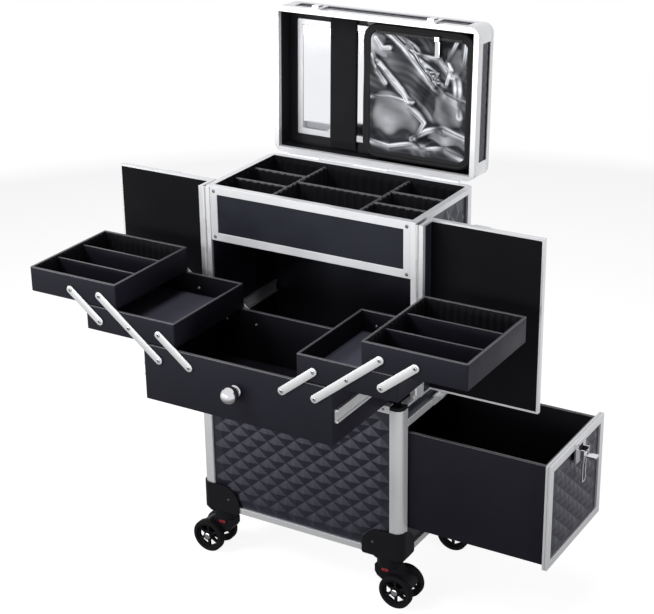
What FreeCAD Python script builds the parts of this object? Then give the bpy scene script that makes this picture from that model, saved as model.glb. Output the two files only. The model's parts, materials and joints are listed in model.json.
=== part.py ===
"""Rolling makeup train case, standing open, as a parametric FreeCAD document.

Frame: +Z up, +X to the case's right, -Y to its front. The origin is on the floor under the
middle of the lower box. Lengths are millimetres and angles are degrees.
"""
import FreeCAD
import Part
import Sketcher
import math
import os

from FreeCAD import Placement, Rotation, Vector

doc = FreeCAD.newDocument("makeup_train_case")
sheet = doc.addObject("Spreadsheet::Sheet", "Sizes")
parts = []


class Size:
    """A length as expression text on the sheet's cells, together with its present value."""

    def __init__(self, text, value):
        self.text = text
        self.value = float(value)

    def __add__(self, other):
        other = sized(other)
        return Size(f"({self.text} + {other.text})", self.value + other.value)

    def __sub__(self, other):
        other = sized(other)
        return Size(f"({self.text} - {other.text})", self.value - other.value)

    def __mul__(self, other):
        other = sized(other)
        return Size(f"({self.text} * {other.text})", self.value * other.value)

    def __truediv__(self, other):
        other = sized(other)
        return Size(f"({self.text} / {other.text})", self.value / other.value)

    def __neg__(self):
        return Size(f"(-1 * {self.text})", -self.value)

    def __radd__(self, other):
        return sized(other) + self

    def __rsub__(self, other):
        return sized(other) - self


def sized(value):
    """A plain number as a Size; a Size comes back unchanged."""
    return value if isinstance(value, Size) else Size(repr(float(value)), value)


def cell(alias, value):
    """One driving dimension on the sheet."""
    address = f"A{cell.count}"
    sheet.set(address, str(value))
    sheet.setAlias(address, alias)
    cell.count += 1
    return Size(f"Sizes.{alias}", value)


cell.count = 1

# Case
case_width = cell("case_width", 352)
case_depth = cell("case_depth", 224)
base_height = cell("base_height", 80)
deck_height = cell("deck_height", 330)
rim_height = cell("rim_height", 600)
front_setback = cell("front_setback", 39)
wall_board = cell("wall_board", 4)
base_board = cell("base_board", 6)
relief_height = cell("relief_height", 3.5)
relief_border = cell("relief_border", 2)
relief_pitch_across = cell("relief_pitch_across", 33)
relief_pitch_up = cell("relief_pitch_up", 28.5)

# Aluminium profiles
metal_wall = cell("metal_wall", 4)
post_leg = cell("post_leg", 20)
post_radius = cell("post_radius", 12)
post_inner_radius = cell("post_inner_radius", 4)
corner_cap = cell("corner_cap", 6)
hinge_post_leg = cell("hinge_post_leg", 7)
hinge_post_radius = cell("hinge_post_radius", 2)
bottom_rail = cell("bottom_rail", 10)
deck_rail = cell("deck_rail", 12)
deck_trim = cell("deck_trim", 4)
rail_flange = cell("rail_flange", 8)
flange_wall = cell("flange_wall", 2)
front_frame_height = cell("front_frame_height", 85)
front_frame_bar = cell("front_frame_bar", 12.5)
front_panel_inset = cell("front_panel_inset", 1)
rim_bar = cell("rim_bar", 8)
rim_width = cell("rim_width", 10)

# Top box
divider_height = cell("divider_height", 76)
divider_wall = cell("divider_wall", 3)
divider_offset = cell("divider_offset", 73)
rib_height = cell("rib_height", 1.5)
rib_pitch = cell("rib_pitch", 15)
lining_wall = cell("lining_wall", 1.5)
fit_gap = cell("fit_gap", 0.2)

# Corner brackets and casters
bracket_wall = cell("bracket_wall", 2.5)
bracket_top = cell("bracket_top", 123)
bracket_bottom = cell("bracket_bottom", 78)
wing_reach = cell("wing_reach", 66)
side_wing_reach = cell("side_wing_reach", 38)
wing_radius = cell("wing_radius", 30)
wing_foot_radius = cell("wing_foot_radius", 4)
foot_drop = cell("foot_drop", 16)
foot_taper = cell("foot_taper", 13)
neck_radius = cell("neck_radius", 18)
neck_bottom = cell("neck_bottom", 60)
caster_inset_x = cell("caster_inset_x", 29)
caster_inset_y = cell("caster_inset_y", 16)
caster_trail = cell("caster_trail", 22)
stem_radius = cell("stem_radius", 4)
stem_length = cell("stem_length", 14)
wheel_radius = cell("wheel_radius", 27)
wheel_width = cell("wheel_width", 12)
tyre_depth = cell("tyre_depth", 6.5)
hub_radius = cell("hub_radius", 7)
web_wall = cell("web_wall", 5)
spoke_count = 6
spoke_width = cell("spoke_width", 4)
hood_width = cell("hood_width", 24)
axle_radius = cell("axle_radius", 3)
running_gap = cell("running_gap", 0.4)

# Lid
lid_width = cell("lid_width", 346)
lid_depth = cell("lid_depth", 228)
lid_thickness = cell("lid_thickness", 50)
lid_angle = cell("lid_angle", 92)
lid_radius = cell("lid_radius", 14)
lid_rim_width = cell("lid_rim_width", 8)
lid_rim_bar = cell("lid_rim_bar", 8)
lid_edge_width = cell("lid_edge_width", 10)
lid_edge_bar = cell("lid_edge_bar", 9)
lid_wall_inset = cell("lid_wall_inset", 1.5)
lining_board = cell("lining_board", 5)
mirror_width = cell("mirror_width", 166)
mirror_room = cell("mirror_room", 46)
mirror_length = lid_depth - mirror_room
mirror_bar = cell("mirror_bar", 10)
mirror_wall = cell("mirror_wall", 3)
mirror_margin = cell("mirror_margin", 17)
mirror_rise = cell("mirror_rise", 26)
strap_width = cell("strap_width", 46)
strap_wall = cell("strap_wall", 1)
bag_width = cell("bag_width", 180)
bag_room = cell("bag_room", 24)
bag_length = lid_depth - bag_room
bag_depth = cell("bag_depth", 19)
bag_radius = cell("bag_radius", 25)
bag_margin = cell("bag_margin", 7)
bag_rise = cell("bag_rise", 14)
bag_hem = cell("bag_hem", 10)
zip_edge = cell("zip_edge", 8)
zip_across = cell("zip_across", 102)
zip_width = cell("zip_width", 8)
zip_length = cell("zip_length", 32)
zip_wall = cell("zip_wall", 2)
zip_slider = cell("zip_slider", 5)
latch_offset = cell("latch_offset", 97)
latch_width = cell("latch_width", 18)
latch_length = cell("latch_length", 30)
latch_drop = cell("latch_drop", 8)
latch_wall = cell("latch_wall", 2.5)
latch_base = cell("latch_base", 12)
latch_lever_width = cell("latch_lever_width", 11)
latch_lever_length = cell("latch_lever_length", 16)
latch_lever_rise = cell("latch_lever_rise", 3.5)

# Hinges
hinge_radius = cell("hinge_radius", 2.2)
hinge_offset = cell("hinge_offset", 2.5)
pin_radius = cell("pin_radius", 1.2)
leaf_wall = cell("leaf_wall", 1)
leaf_gap = cell("leaf_gap", 0.5)
lid_hinge_length = cell("lid_hinge_length", 300)
lid_leaf = cell("lid_leaf", 10)
knuckle_count = 5

# Doors
door_floor_gap = cell("door_floor_gap", 7)
door_top_gap = cell("door_top_gap", 2)
door_meet_gap = cell("door_meet_gap", 0.75)
door_bar = cell("door_bar", 12)
door_lip = cell("door_lip", 3)
door_end_cap = cell("door_end_cap", 8)
keeper_width = cell("keeper_width", 24)
keeper_height = cell("keeper_height", 16)
keeper_wall = cell("keeper_wall", 3)

# Middle drawer and its trays
drawer_width = cell("drawer_width", 312)
drawer_depth = cell("drawer_depth", 178)
drawer_height = cell("drawer_height", 87)
drawer_lift = cell("drawer_lift", 8)
drawer_front_y = cell("drawer_front_y", 271)
drawer_board = cell("drawer_board", 5)
tray_width = cell("tray_width", 155)
tray_height = cell("tray_height", 38)
tray_pitch = cell("tray_pitch", 39.5)
tray_board = cell("tray_board", 4)
tray_lift = cell("tray_lift", 2)
tray_meet_gap = cell("tray_meet_gap", 0.5)
tray_divider_drop = cell("tray_divider_drop", 4)
arm_reach = cell("arm_reach", 50)
arm_width = cell("arm_width", 12)
arm_wall = cell("arm_wall", 2)
arm_gap = cell("arm_gap", 0.5)
rivet_radius = cell("rivet_radius", 3.2)
rivet_head = cell("rivet_head", 1.2)
pivot_first = cell("pivot_first", 77)
pivot_spacing = cell("pivot_spacing", 52)
pivot_drop = cell("pivot_drop", 21)
knob_radius = cell("knob_radius", 11)
knob_reach = cell("knob_reach", 25)
knob_base = cell("knob_base", 8)
knob_neck = cell("knob_neck", 5)
knob_drop = cell("knob_drop", 38)

# Telescopic slides
slide_height = cell("slide_height", 20)
slide_web = cell("slide_web", 1.5)
slide_lip = cell("slide_lip", 3)
slide_depth = cell("slide_depth", 5)
slide_gap = cell("slide_gap", 0.3)
drawer_slide_drop = cell("drawer_slide_drop", 43)
drawer_slide_length = cell("drawer_slide_length", 168)
side_slide_length = cell("side_slide_length", 294)
side_slide_drop = cell("side_slide_drop", 80)
runner_length = cell("runner_length", 72)

# Side drawer
side_length = cell("side_length", 300)
side_bottom = cell("side_bottom", 126)
side_room = cell("side_room", 45)
side_height = deck_height - side_bottom - side_room
side_pull = cell("side_pull", 218)
side_board = cell("side_board", 5)
side_slide_room = cell("side_slide_room", 14)
front_plate_width = cell("front_plate_width", 196)
front_plate_room = cell("front_plate_room", 6.5)
front_plate_height = side_height + front_plate_room
front_plate_wall = cell("front_plate_wall", 8)
front_plate_bar = cell("front_plate_bar", 12)
front_plate_drop = cell("front_plate_drop", 2.5)
sill_gap = cell("sill_gap", 4)
header_gap = cell("header_gap", 9)
catch_width = cell("catch_width", 36)
catch_length = cell("catch_length", 32)
catch_wall = cell("catch_wall", 3)
hasp_width = cell("hasp_width", 13)
hasp_length = cell("hasp_length", 44)
hasp_bar = cell("hasp_bar", 2.5)
catch_offset = cell("catch_offset", 3)
catch_drop = cell("catch_drop", 2)
catch_pivot_drop = cell("catch_pivot_drop", 21)
ear_reach = cell("ear_reach", 9)
ear_wall = cell("ear_wall", 2.5)
ear_height = cell("ear_height", 20)
ear_spacing = cell("ear_spacing", 15)
lever_length = cell("lever_length", 20)
barrel_radius = cell("barrel_radius", 3)
hook_width = cell("hook_width", 12)
hook_reach = cell("hook_reach", 5)

# Telescopic handle behind the case
handle_spacing = cell("handle_spacing", 140)
tube_radius = cell("tube_radius", 6)
sleeve_wall = cell("sleeve_wall", 2)
sleeve_bottom = cell("sleeve_bottom", 154)
sleeve_room = cell("sleeve_room", 91)
sleeve_top = rim_height - sleeve_room
handle_room = cell("handle_room", 50)
handle_top = rim_height - handle_room
tube_length = cell("tube_length", 330)
grip_height = cell("grip_height", 20)
grip_depth = cell("grip_depth", 15)
grip_overhang = cell("grip_overhang", 16)
clamp_height = cell("clamp_height", 18)
clamp_overhang = cell("clamp_overhang", 3)

# Planes that several pieces share
half_width = case_width / 2
half_depth = case_depth / 2
skin_x = half_width - metal_wall
skin_y = half_depth - metal_wall
inner_x = skin_x - wall_board
inner_y = skin_y - wall_board
front_y = front_setback - half_depth
frame_back_y = front_y + metal_wall
box_front_y = frame_back_y + wall_board
rim_base = rim_height - rim_bar
box_floor = rim_height - front_frame_height
box_floor_top = box_floor + wall_board
board_low = base_height + flange_wall
board_high = deck_height - flange_wall
panel_x = half_width - post_leg
panel_y = half_depth - post_leg


def both(half):
    """The pair of values that lies evenly about zero."""
    return (-half, half)


def board(name, x, y, z):
    """A rectangular solid between two values on each axis."""
    box = doc.addObject("Part::Box", name)
    spans = (x, y, z)
    for prop, axis, (low, high) in zip(("Length", "Width", "Height"), "xyz", spans):
        low, high = sized(low), sized(high)
        box.setExpression(prop, (high - low).text)
        box.setExpression("Placement.Base." + axis, low.text)
    return box


def cylinder(name, radius, base, length, axis="z"):
    """A round bar from a base point along one axis."""
    bar = doc.addObject("Part::Cylinder", name)
    bar.setExpression("Radius", sized(radius).text)
    bar.setExpression("Height", sized(length).text)
    turn = {"x": (Vector(0, 1, 0), 90), "y": (Vector(1, 0, 0), -90), "z": (Vector(0, 0, 1), 0)}[axis]
    bar.Placement = Placement(Vector(), Rotation(*turn))
    for name_of_axis, value in zip("xyz", base):
        bar.setExpression("Placement.Base." + name_of_axis, sized(value).text)
    return bar


def fuse(name, shapes):
    """Shapes joined into one solid."""
    joined = doc.addObject("Part::MultiFuse", name)
    joined.Shapes = shapes
    joined.Refine = True
    return joined


def cut(name, base, tool):
    """One shape less another."""
    result = doc.addObject("Part::Cut", name)
    result.Base = base
    result.Tool = tool
    return result


def place(item, base=(0, 0, 0), axis=None, angle=None):
    """Binds an object's Placement to sizes: a base point and a turn about one axis."""
    if axis is not None:
        item.Placement = Placement(Vector(), Rotation(axis, 1))
        item.setExpression("Placement.Rotation.Angle", angle)
    for name_of_axis, value in zip("xyz", base):
        item.setExpression("Placement.Base." + name_of_axis, sized(value).text)


def piece(label, solids, base=(0, 0, 0), axis=None, angle=None):
    """A sub-part: one or more solids that are one node."""
    group = doc.addObject("Part::Compound", label)
    group.Label = label
    group.Links = solids
    place(group, base, axis, angle)
    parts.append(group)
    return group


def mirrored(name, source, normal=Vector(1, 0, 0)):
    """The same shape on the other side of the case's middle plane."""
    copy = doc.addObject("Part::Mirroring", name)
    copy.Source = source
    copy.Normal = normal
    return copy


def new_body(name):
    """An empty PartDesign body."""
    return doc.addObject("PartDesign::Body", name)


def sketch_on(body, role, offset=0):
    """An empty sketch on one of the body's own origin planes, moved along the plane's normal."""
    sketch = body.newObject("Sketcher::SketchObject", body.Name + "_sketch")
    plane = next(item for item in body.Origin.OriginFeatures if item.Role == role)
    sketch.AttachmentSupport = [(plane, "")]
    sketch.MapMode = "FlatFace"
    sketch.setExpression("AttachmentOffset.Base.z", sized(offset).text)
    return sketch


def polygon(sketch, points):
    """A closed outline of straight lines, with every corner bound to sizes."""
    first = sketch.GeometryCount
    points = [(sized(a), sized(b)) for a, b in points]
    count = len(points)
    for index, (here, there) in enumerate(zip(points, points[1:] + points[:1])):
        start = Vector(here[0].value, here[1].value, 0)
        end = Vector(there[0].value, there[1].value, 0)
        sketch.addGeometry(Part.LineSegment(start, end))
    for index in range(count):
        after = first + (index + 1) % count
        sketch.addConstraint(Sketcher.Constraint("Coincident", first + index, 2, after, 1))
    for index, point in enumerate(points):
        for kind, value in zip(("DistanceX", "DistanceY"), point):
            number = sketch.addConstraint(
                Sketcher.Constraint(kind, -1, 1, first + index, 1, value.value))
            sketch.setExpression(f"Constraints[{number}]", value.text)


def rectangle(sketch, across, along):
    """A closed rectangle between two values each way."""
    (left, right), (low, high) = across, along
    polygon(sketch, [(left, low), (right, low), (right, high), (left, high)])


def circle(sketch, centre, radius):
    """A circle whose centre and radius are bound to sizes."""
    a, b, radius = sized(centre[0]), sized(centre[1]), sized(radius)
    index = sketch.addGeometry(Part.Circle(Vector(a.value, b.value, 0), Vector(0, 0, 1), radius.value))
    for kind, value in (("DistanceX", a), ("DistanceY", b)):
        number = sketch.addConstraint(Sketcher.Constraint(kind, -1, 1, index, 3, value.value))
        sketch.setExpression(f"Constraints[{number}]", value.text)
    number = sketch.addConstraint(Sketcher.Constraint("Radius", index, radius.value))
    sketch.setExpression(f"Constraints[{number}]", radius.text)


def pad(body, sketch, length, midplane=False, backwards=False):
    """The sketch pushed out along its normal."""
    feature = body.newObject("PartDesign::Pad", body.Name + "_pad")
    feature.Profile = sketch
    feature.setExpression("Length", sized(length).text)
    feature.Midplane = midplane
    feature.Reversed = backwards
    doc.recompute()
    return feature


def upright_edges(shape, corners, direction=Vector(0, 0, 1)):
    """Names of the edges along a direction that pass through any of the given points."""
    names = []
    for number, edge in enumerate(shape.Edges, start=1):
        if len(edge.Vertexes) < 2 or not isinstance(edge.Curve, Part.Line):
            continue
        start, end = edge.Vertexes[0].Point, edge.Vertexes[1].Point
        run = (end - start).normalize()
        if abs(abs(run.dot(direction)) - 1) > 1e-6:
            continue
        for corner in corners:
            offset = start - Vector(*[sized(value).value for value in corner])
            if (offset - run * offset.dot(run)).Length < 1e-4:
                names.append(f"Edge{number}")
                break
    return names


def rounded(body, feature, corners, radius, direction=Vector(0, 0, 1)):
    """A fillet on the edges through the given corners."""
    doc.recompute()
    fillet = body.newObject("PartDesign::Fillet", body.Name + "_fillet")
    fillet.Base = (feature, upright_edges(feature.Shape, corners, direction))
    fillet.setExpression("Radius", sized(radius).text)
    doc.recompute()
    return fillet


def ring(name, x, y, width, z, radius):
    """A flat frame with rounded outer corners, between two heights."""
    body = new_body(name)
    sketch = sketch_on(body, "XY_Plane", z[0])
    rectangle(sketch, x, y)
    rectangle(sketch, (x[0] + width, x[1] - width), (y[0] + width, y[1] - width))
    feature = pad(body, sketch, z[1] - z[0])
    corners = [(a, b, z[0]) for a in x for b in y]
    rounded(body, feature, corners, radius)
    return body


def embossed(name, width, height, margins, thickness, origin, across, up):
    """A board whose outer face carries rows of low four-sided pyramids.

    The face is divided into half cells. Grid points whose numbers add up to an even count are
    peaks and the others are valleys, so each cell's diagonal joins two valleys. Margins are the
    plain borders left, right, below and above.
    """
    w, h, t = width.value, height.value, thickness.value
    left, right, low, high = [sized(margin).value for margin in margins]
    columns = max(2, round((w - left - right) / (relief_pitch_across.value / 2)))
    rows = max(2, round((h - low - high) / (relief_pitch_up.value / 2)))
    step_u = (w - left - right) / columns
    step_v = (h - low - high) / rows

    def point(i, j):
        inside = 0 < i < columns and 0 < j < rows
        rise = relief_height.value if inside and (i + j) % 2 == 0 else 0
        return Vector(left + i * step_u, low + j * step_v, rise)

    faces = []
    for i in range(columns):
        for j in range(rows):
            a, b, c, d = point(i, j), point(i + 1, j), point(i + 1, j + 1), point(i, j + 1)
            if (i + j) % 2 == 0:
                faces += [(a, b, d), (b, c, d)]
            else:
                faces += [(a, b, c), (a, c, d)]
    outer = [Vector(0, 0, 0), Vector(w, 0, 0), Vector(w, h, 0), Vector(0, h, 0)]
    below = [point(i, 0) for i in range(columns + 1)]
    beside = [point(columns, j) for j in range(rows + 1)]
    above = [point(i, rows) for i in range(columns, -1, -1)]
    returning = [point(0, j) for j in range(rows, -1, -1)]
    for index, edge in enumerate((below, beside, above, returning)):
        faces.append([outer[index], outer[(index + 1) % 4]] + edge[::-1])
    back = [corner - Vector(0, 0, t) for corner in outer]
    faces.append(back[::-1])
    for index in range(4):
        after = (index + 1) % 4
        faces.append([back[index], back[after], outer[after], outer[index]])
    shell = Part.Shell([Part.Face(Part.makePolygon(list(face) + [face[0]])) for face in faces])
    item = doc.addObject("Part::Feature", name)
    item.Shape = Part.Solid(shell)
    normal = across.cross(up)
    start = Vector(*[sized(value).value for value in origin])
    item.Placement = Placement(start, Rotation(across, up, normal, "ZXY"))
    return item


def ribbed(name, start, along, length, z, one_sided=False):
    """An upright strip with ribs, such as a slotted divider or a wall lining, along X or Y."""
    span, rib, pitch = sized(length).value, rib_height.value, rib_pitch.value
    half = lining_wall.value if one_sided else divider_wall.value / 2
    count = max(1, int(span // pitch))
    first = (span - count * pitch) / 2
    face = [(0, half)]
    for index in range(count):
        middle = first + (index + 0.5) * pitch
        face += [(middle - pitch / 3, half), (middle - pitch / 6, half + rib),
                 (middle + pitch / 6, half + rib), (middle + pitch / 3, half)]
    face.append((span, half))
    other = [(span, 0), (0, 0)] if one_sided else [(a, -b) for a, b in reversed(face)]
    points = [Vector(a, b, 0) for a, b in face + other]
    outline = Part.Face(Part.makePolygon(points + [points[0]]))
    item = doc.addObject("Part::Feature", name)
    low, high = sized(z[0]).value, sized(z[1]).value
    item.Shape = outline.extrude(Vector(0, 0, high - low))
    origin = Vector(sized(start[0]).value, sized(start[1]).value, low)
    item.Placement = Placement(origin, Rotation(Vector(0, 0, 1), along))
    return item


def post(name, side_x, side_y, outer_y, front_leg, z, radius, inner_radius=None):
    """An aluminium corner profile: two legs that meet in a rounded corner."""
    body = new_body(name)
    x, y = half_width * side_x, outer_y
    into_x, into_y = -side_x, -side_y
    sketch = sketch_on(body, "XY_Plane", z[0])
    polygon(sketch, [
        (x, y),
        (x + front_leg * into_x, y),
        (x + front_leg * into_x, y + metal_wall * into_y),
        (x + metal_wall * into_x, y + metal_wall * into_y),
        (x + metal_wall * into_x, y + post_leg * into_y),
        (x, y + post_leg * into_y)])
    feature = pad(body, sketch, z[1] - z[0])
    feature = rounded(body, feature, [(x, y, z[0])], radius)
    if inner_radius is not None:
        inner = (x + metal_wall * into_x, y + metal_wall * into_y, z[0])
        rounded(body, feature, [inner], inner_radius)
    return body


def angle_rail(name, side, across, flange, z, along_x, shelf):
    """A rail of angle section: an upright flange and a shelf that a board rests on or under."""
    low, high = z
    outer, inner = across
    shelf_low = low if shelf == "low" else high - flange_wall
    upright = (outer, inner) if side < 0 else (inner, outer)
    ledge_end = inner - flange * side
    ledge = (inner, ledge_end) if side < 0 else (ledge_end, inner)
    run = both(panel_x) if along_x else both(panel_y)
    sides = [(upright, (low, high)), (ledge, (shelf_low, shelf_low + flange_wall))]
    boxes = []
    for index, (span, height) in enumerate(sides):
        spot = (run, span) if along_x else (span, run)
        boxes.append(board(f"{name}_{index}", spot[0], spot[1], height))
    return fuse(name, boxes)


def build_lower_case():
    """Base, deck, boards, posts and rails of the lower box."""
    base = board("base_board_solid", both(inner_x), both(inner_y), (board_low, board_low + base_board))
    deck = board("deck_board_solid", both(inner_x), both(inner_y), (board_high - base_board, board_high))
    piece("base_and_deck", [base, deck])

    height = board_high - board_low
    edges = (inner_x - panel_x, inner_x - panel_x, bottom_rail - flange_wall, deck_rail - flange_wall)
    front = embossed("front_relief", inner_x * 2, height, edges, wall_board,
                     (-inner_x, -skin_y, board_low), Vector(1, 0, 0), Vector(0, 0, 1))
    piece("lower_front_panel", [front])

    tall = rim_base - board_low
    rear_edges = (inner_x - panel_x, inner_x - panel_x, bottom_rail - flange_wall, metal_wall)
    rear = embossed("rear_relief", inner_x * 2, tall, rear_edges, wall_board,
                    (inner_x, skin_y, board_low), Vector(-1, 0, 0), Vector(0, 0, 1))
    piece("rear_panel", [rear])

    side_edges = (inner_y - panel_y, inner_y - panel_y, bottom_rail - flange_wall, deck_rail - flange_wall)
    lower_left = embossed("lower_left_relief", inner_y * 2, height, side_edges, wall_board,
                          (-skin_x, inner_y, board_low), Vector(0, -1, 0), Vector(0, 0, 1))
    upper_length = inner_y - frame_back_y
    upper_height = rim_base - deck_height
    hidden_front = post_leg - metal_wall
    hidden_rear = inner_y - panel_y
    upper_right = embossed("upper_right_relief", upper_length, upper_height,
                           (hidden_front, hidden_rear, metal_wall, metal_wall), wall_board,
                           (skin_x, frame_back_y, deck_height), Vector(0, 1, 0), Vector(0, 0, 1))
    upper_left = embossed("upper_left_relief", upper_length, upper_height,
                          (hidden_rear, hidden_front, metal_wall, metal_wall), wall_board,
                          (-skin_x, inner_y, deck_height), Vector(0, -1, 0), Vector(0, 0, 1))
    sill = board("drawer_sill", (inner_x, skin_x), both(inner_y), (board_low, side_bottom - sill_gap))
    header_low = side_bottom + side_height + header_gap
    header = board("drawer_header", (inner_x, skin_x), both(inner_y), (header_low, board_high))
    piece("side_panels", [lower_left, upper_left, upper_right, sill, header])

    posts, caps = [], []
    cap_low = deck_height - corner_cap
    for side in (-1, 1):
        hand = "left" if side < 0 else "right"
        posts.append(post(f"{hand}_front_post", side, -1, -half_depth, post_leg,
                          (board_low, cap_low), post_radius, post_inner_radius))
        caps.append(post(f"{hand}_corner_cap", side, -1, -half_depth, post_leg,
                         (cap_low, deck_height), post_radius, post_inner_radius))
        posts.append(post(f"{hand}_rear_post", side, 1, half_depth, post_leg,
                          (board_low, rim_base), post_radius, post_inner_radius))
        posts.append(post(f"{hand}_hinge_post", side, -1, front_y, hinge_post_leg,
                          (deck_height, rim_height), hinge_post_radius))
    piece("posts", posts)
    piece("corner_caps", caps)

    rails = []
    low = (base_height, base_height + bottom_rail)
    high = (deck_height - deck_rail, deck_height)
    for side, hand in ((-1, "front"), (1, "rear")):
        across = (half_depth * side, skin_y * side)
        rails.append(angle_rail(f"{hand}_bottom_rail", side, across, rail_flange, low, True, "low"))
        if hand == "front":
            rails.append(angle_rail("front_deck_rail", side, across, rail_flange, high, True, "high"))
    for side, hand in ((-1, "left"), (1, "right")):
        across = (half_width * side, skin_x * side)
        rails.append(angle_rail(f"{hand}_bottom_rail", side, across, rail_flange, low, False, "low"))
        edge = high if side < 0 else (deck_height - deck_trim, deck_height)
        rails.append(angle_rail(f"{hand}_deck_rail", side, across, rail_flange, edge, False, "high"))
    header = (header_low, header_low + deck_rail)
    rails.append(board("opening_rail", (skin_x, half_width), both(panel_y), header))
    keeper_low = header_low + flange_wall
    rails.append(board("side_keeper", (half_width, half_width + keeper_wall),
                       (catch_offset - catch_width / 2, catch_offset + catch_width / 2),
                       (keeper_low, keeper_low + keeper_height)))
    hook_low = keeper_low + keeper_height / 2
    rails.append(board("side_keeper_hook", (half_width + keeper_wall, half_width + keeper_wall + hook_reach),
                       (catch_offset - hook_width / 2, catch_offset + hook_width / 2),
                       (hook_low, hook_low + keeper_wall)))
    piece("edge_rails", rails)


def build_brackets():
    """Moulded corner brackets: two rounded wings, a foot plate and a neck for the caster's stem."""
    outer_x, outer_y = half_width + bracket_wall, -half_depth - bracket_wall
    wing_x, wing_y = half_width - wing_reach, -half_depth + side_wing_reach
    body = new_body("bracket_shell")
    sketch = sketch_on(body, "XY_Plane", bracket_bottom)
    polygon(sketch, [(wing_x, outer_y), (outer_x, outer_y), (outer_x, wing_y),
                     (half_width, wing_y), (half_width, -half_depth), (wing_x, -half_depth)])
    shell = pad(body, sketch, bracket_top - bracket_bottom)
    shell = rounded(body, shell, [(outer_x, outer_y, bracket_bottom)], post_radius + bracket_wall)
    shell = rounded(body, shell, [(half_width, -half_depth, bracket_bottom)], post_radius)
    for level, radius in ((bracket_top, wing_radius), (bracket_bottom, wing_foot_radius)):
        shell = rounded(body, shell, [(wing_x, outer_y, level)], radius, Vector(0, 1, 0))
        shell = rounded(body, shell, [(outer_x, wing_y, level)], radius, Vector(1, 0, 0))

    axis_x, axis_y = half_width - caster_inset_x, -half_depth + caster_inset_y
    neck = doc.addObject("Part::Cylinder", "bracket_neck")
    neck.setExpression("Radius", neck_radius.text)
    neck.setExpression("Height", (base_height - neck_bottom).text)
    place(neck, (axis_x, axis_y, neck_bottom))
    foot_body = new_body("bracket_foot")
    corner = post_radius + bracket_wall
    centre = (outer_x - corner, outer_y + corner)
    levels = []
    for drop, share in ((0, 0.04), (0.25, 0.12), (0.62, 0.46), (1, 1)):
        inset = foot_taper * share
        radius = corner - inset
        level = sketch_on(foot_body, "XY_Plane", base_height - foot_drop * drop)
        turn = [math.radians(angle) for angle in (-90, -60, -30, 0)]
        arc = [(centre[0] + radius * math.cos(a), centre[1] + radius * math.sin(a)) for a in turn]
        polygon(level, [(axis_x - neck_radius + inset, outer_y + inset)] + arc
                + [(outer_x - inset, axis_y + neck_radius - inset),
                   (axis_x - neck_radius + inset, axis_y + neck_radius - inset)])
        levels.append(level)
    foot = foot_body.newObject("PartDesign::AdditiveLoft", "bracket_bowl")
    foot.Profile = levels[0]
    foot.Sections = levels[1:]
    foot.Ruled = True
    doc.recompute()
    bore = cylinder("bracket_bore", stem_radius + running_gap, (axis_x, axis_y, neck_bottom),
                    stem_length + running_gap)
    bracket = cut("bracket", fuse("bracket_whole", [body, foot_body, neck]), bore)
    left = mirrored("bracket_left", bracket)
    rear = mirrored("bracket_rear", bracket, Vector(0, 1, 0))
    rear_left = mirrored("bracket_rear_left", left, Vector(0, 1, 0))
    piece("corner_brackets", [bracket, left, rear, rear_left])


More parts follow.
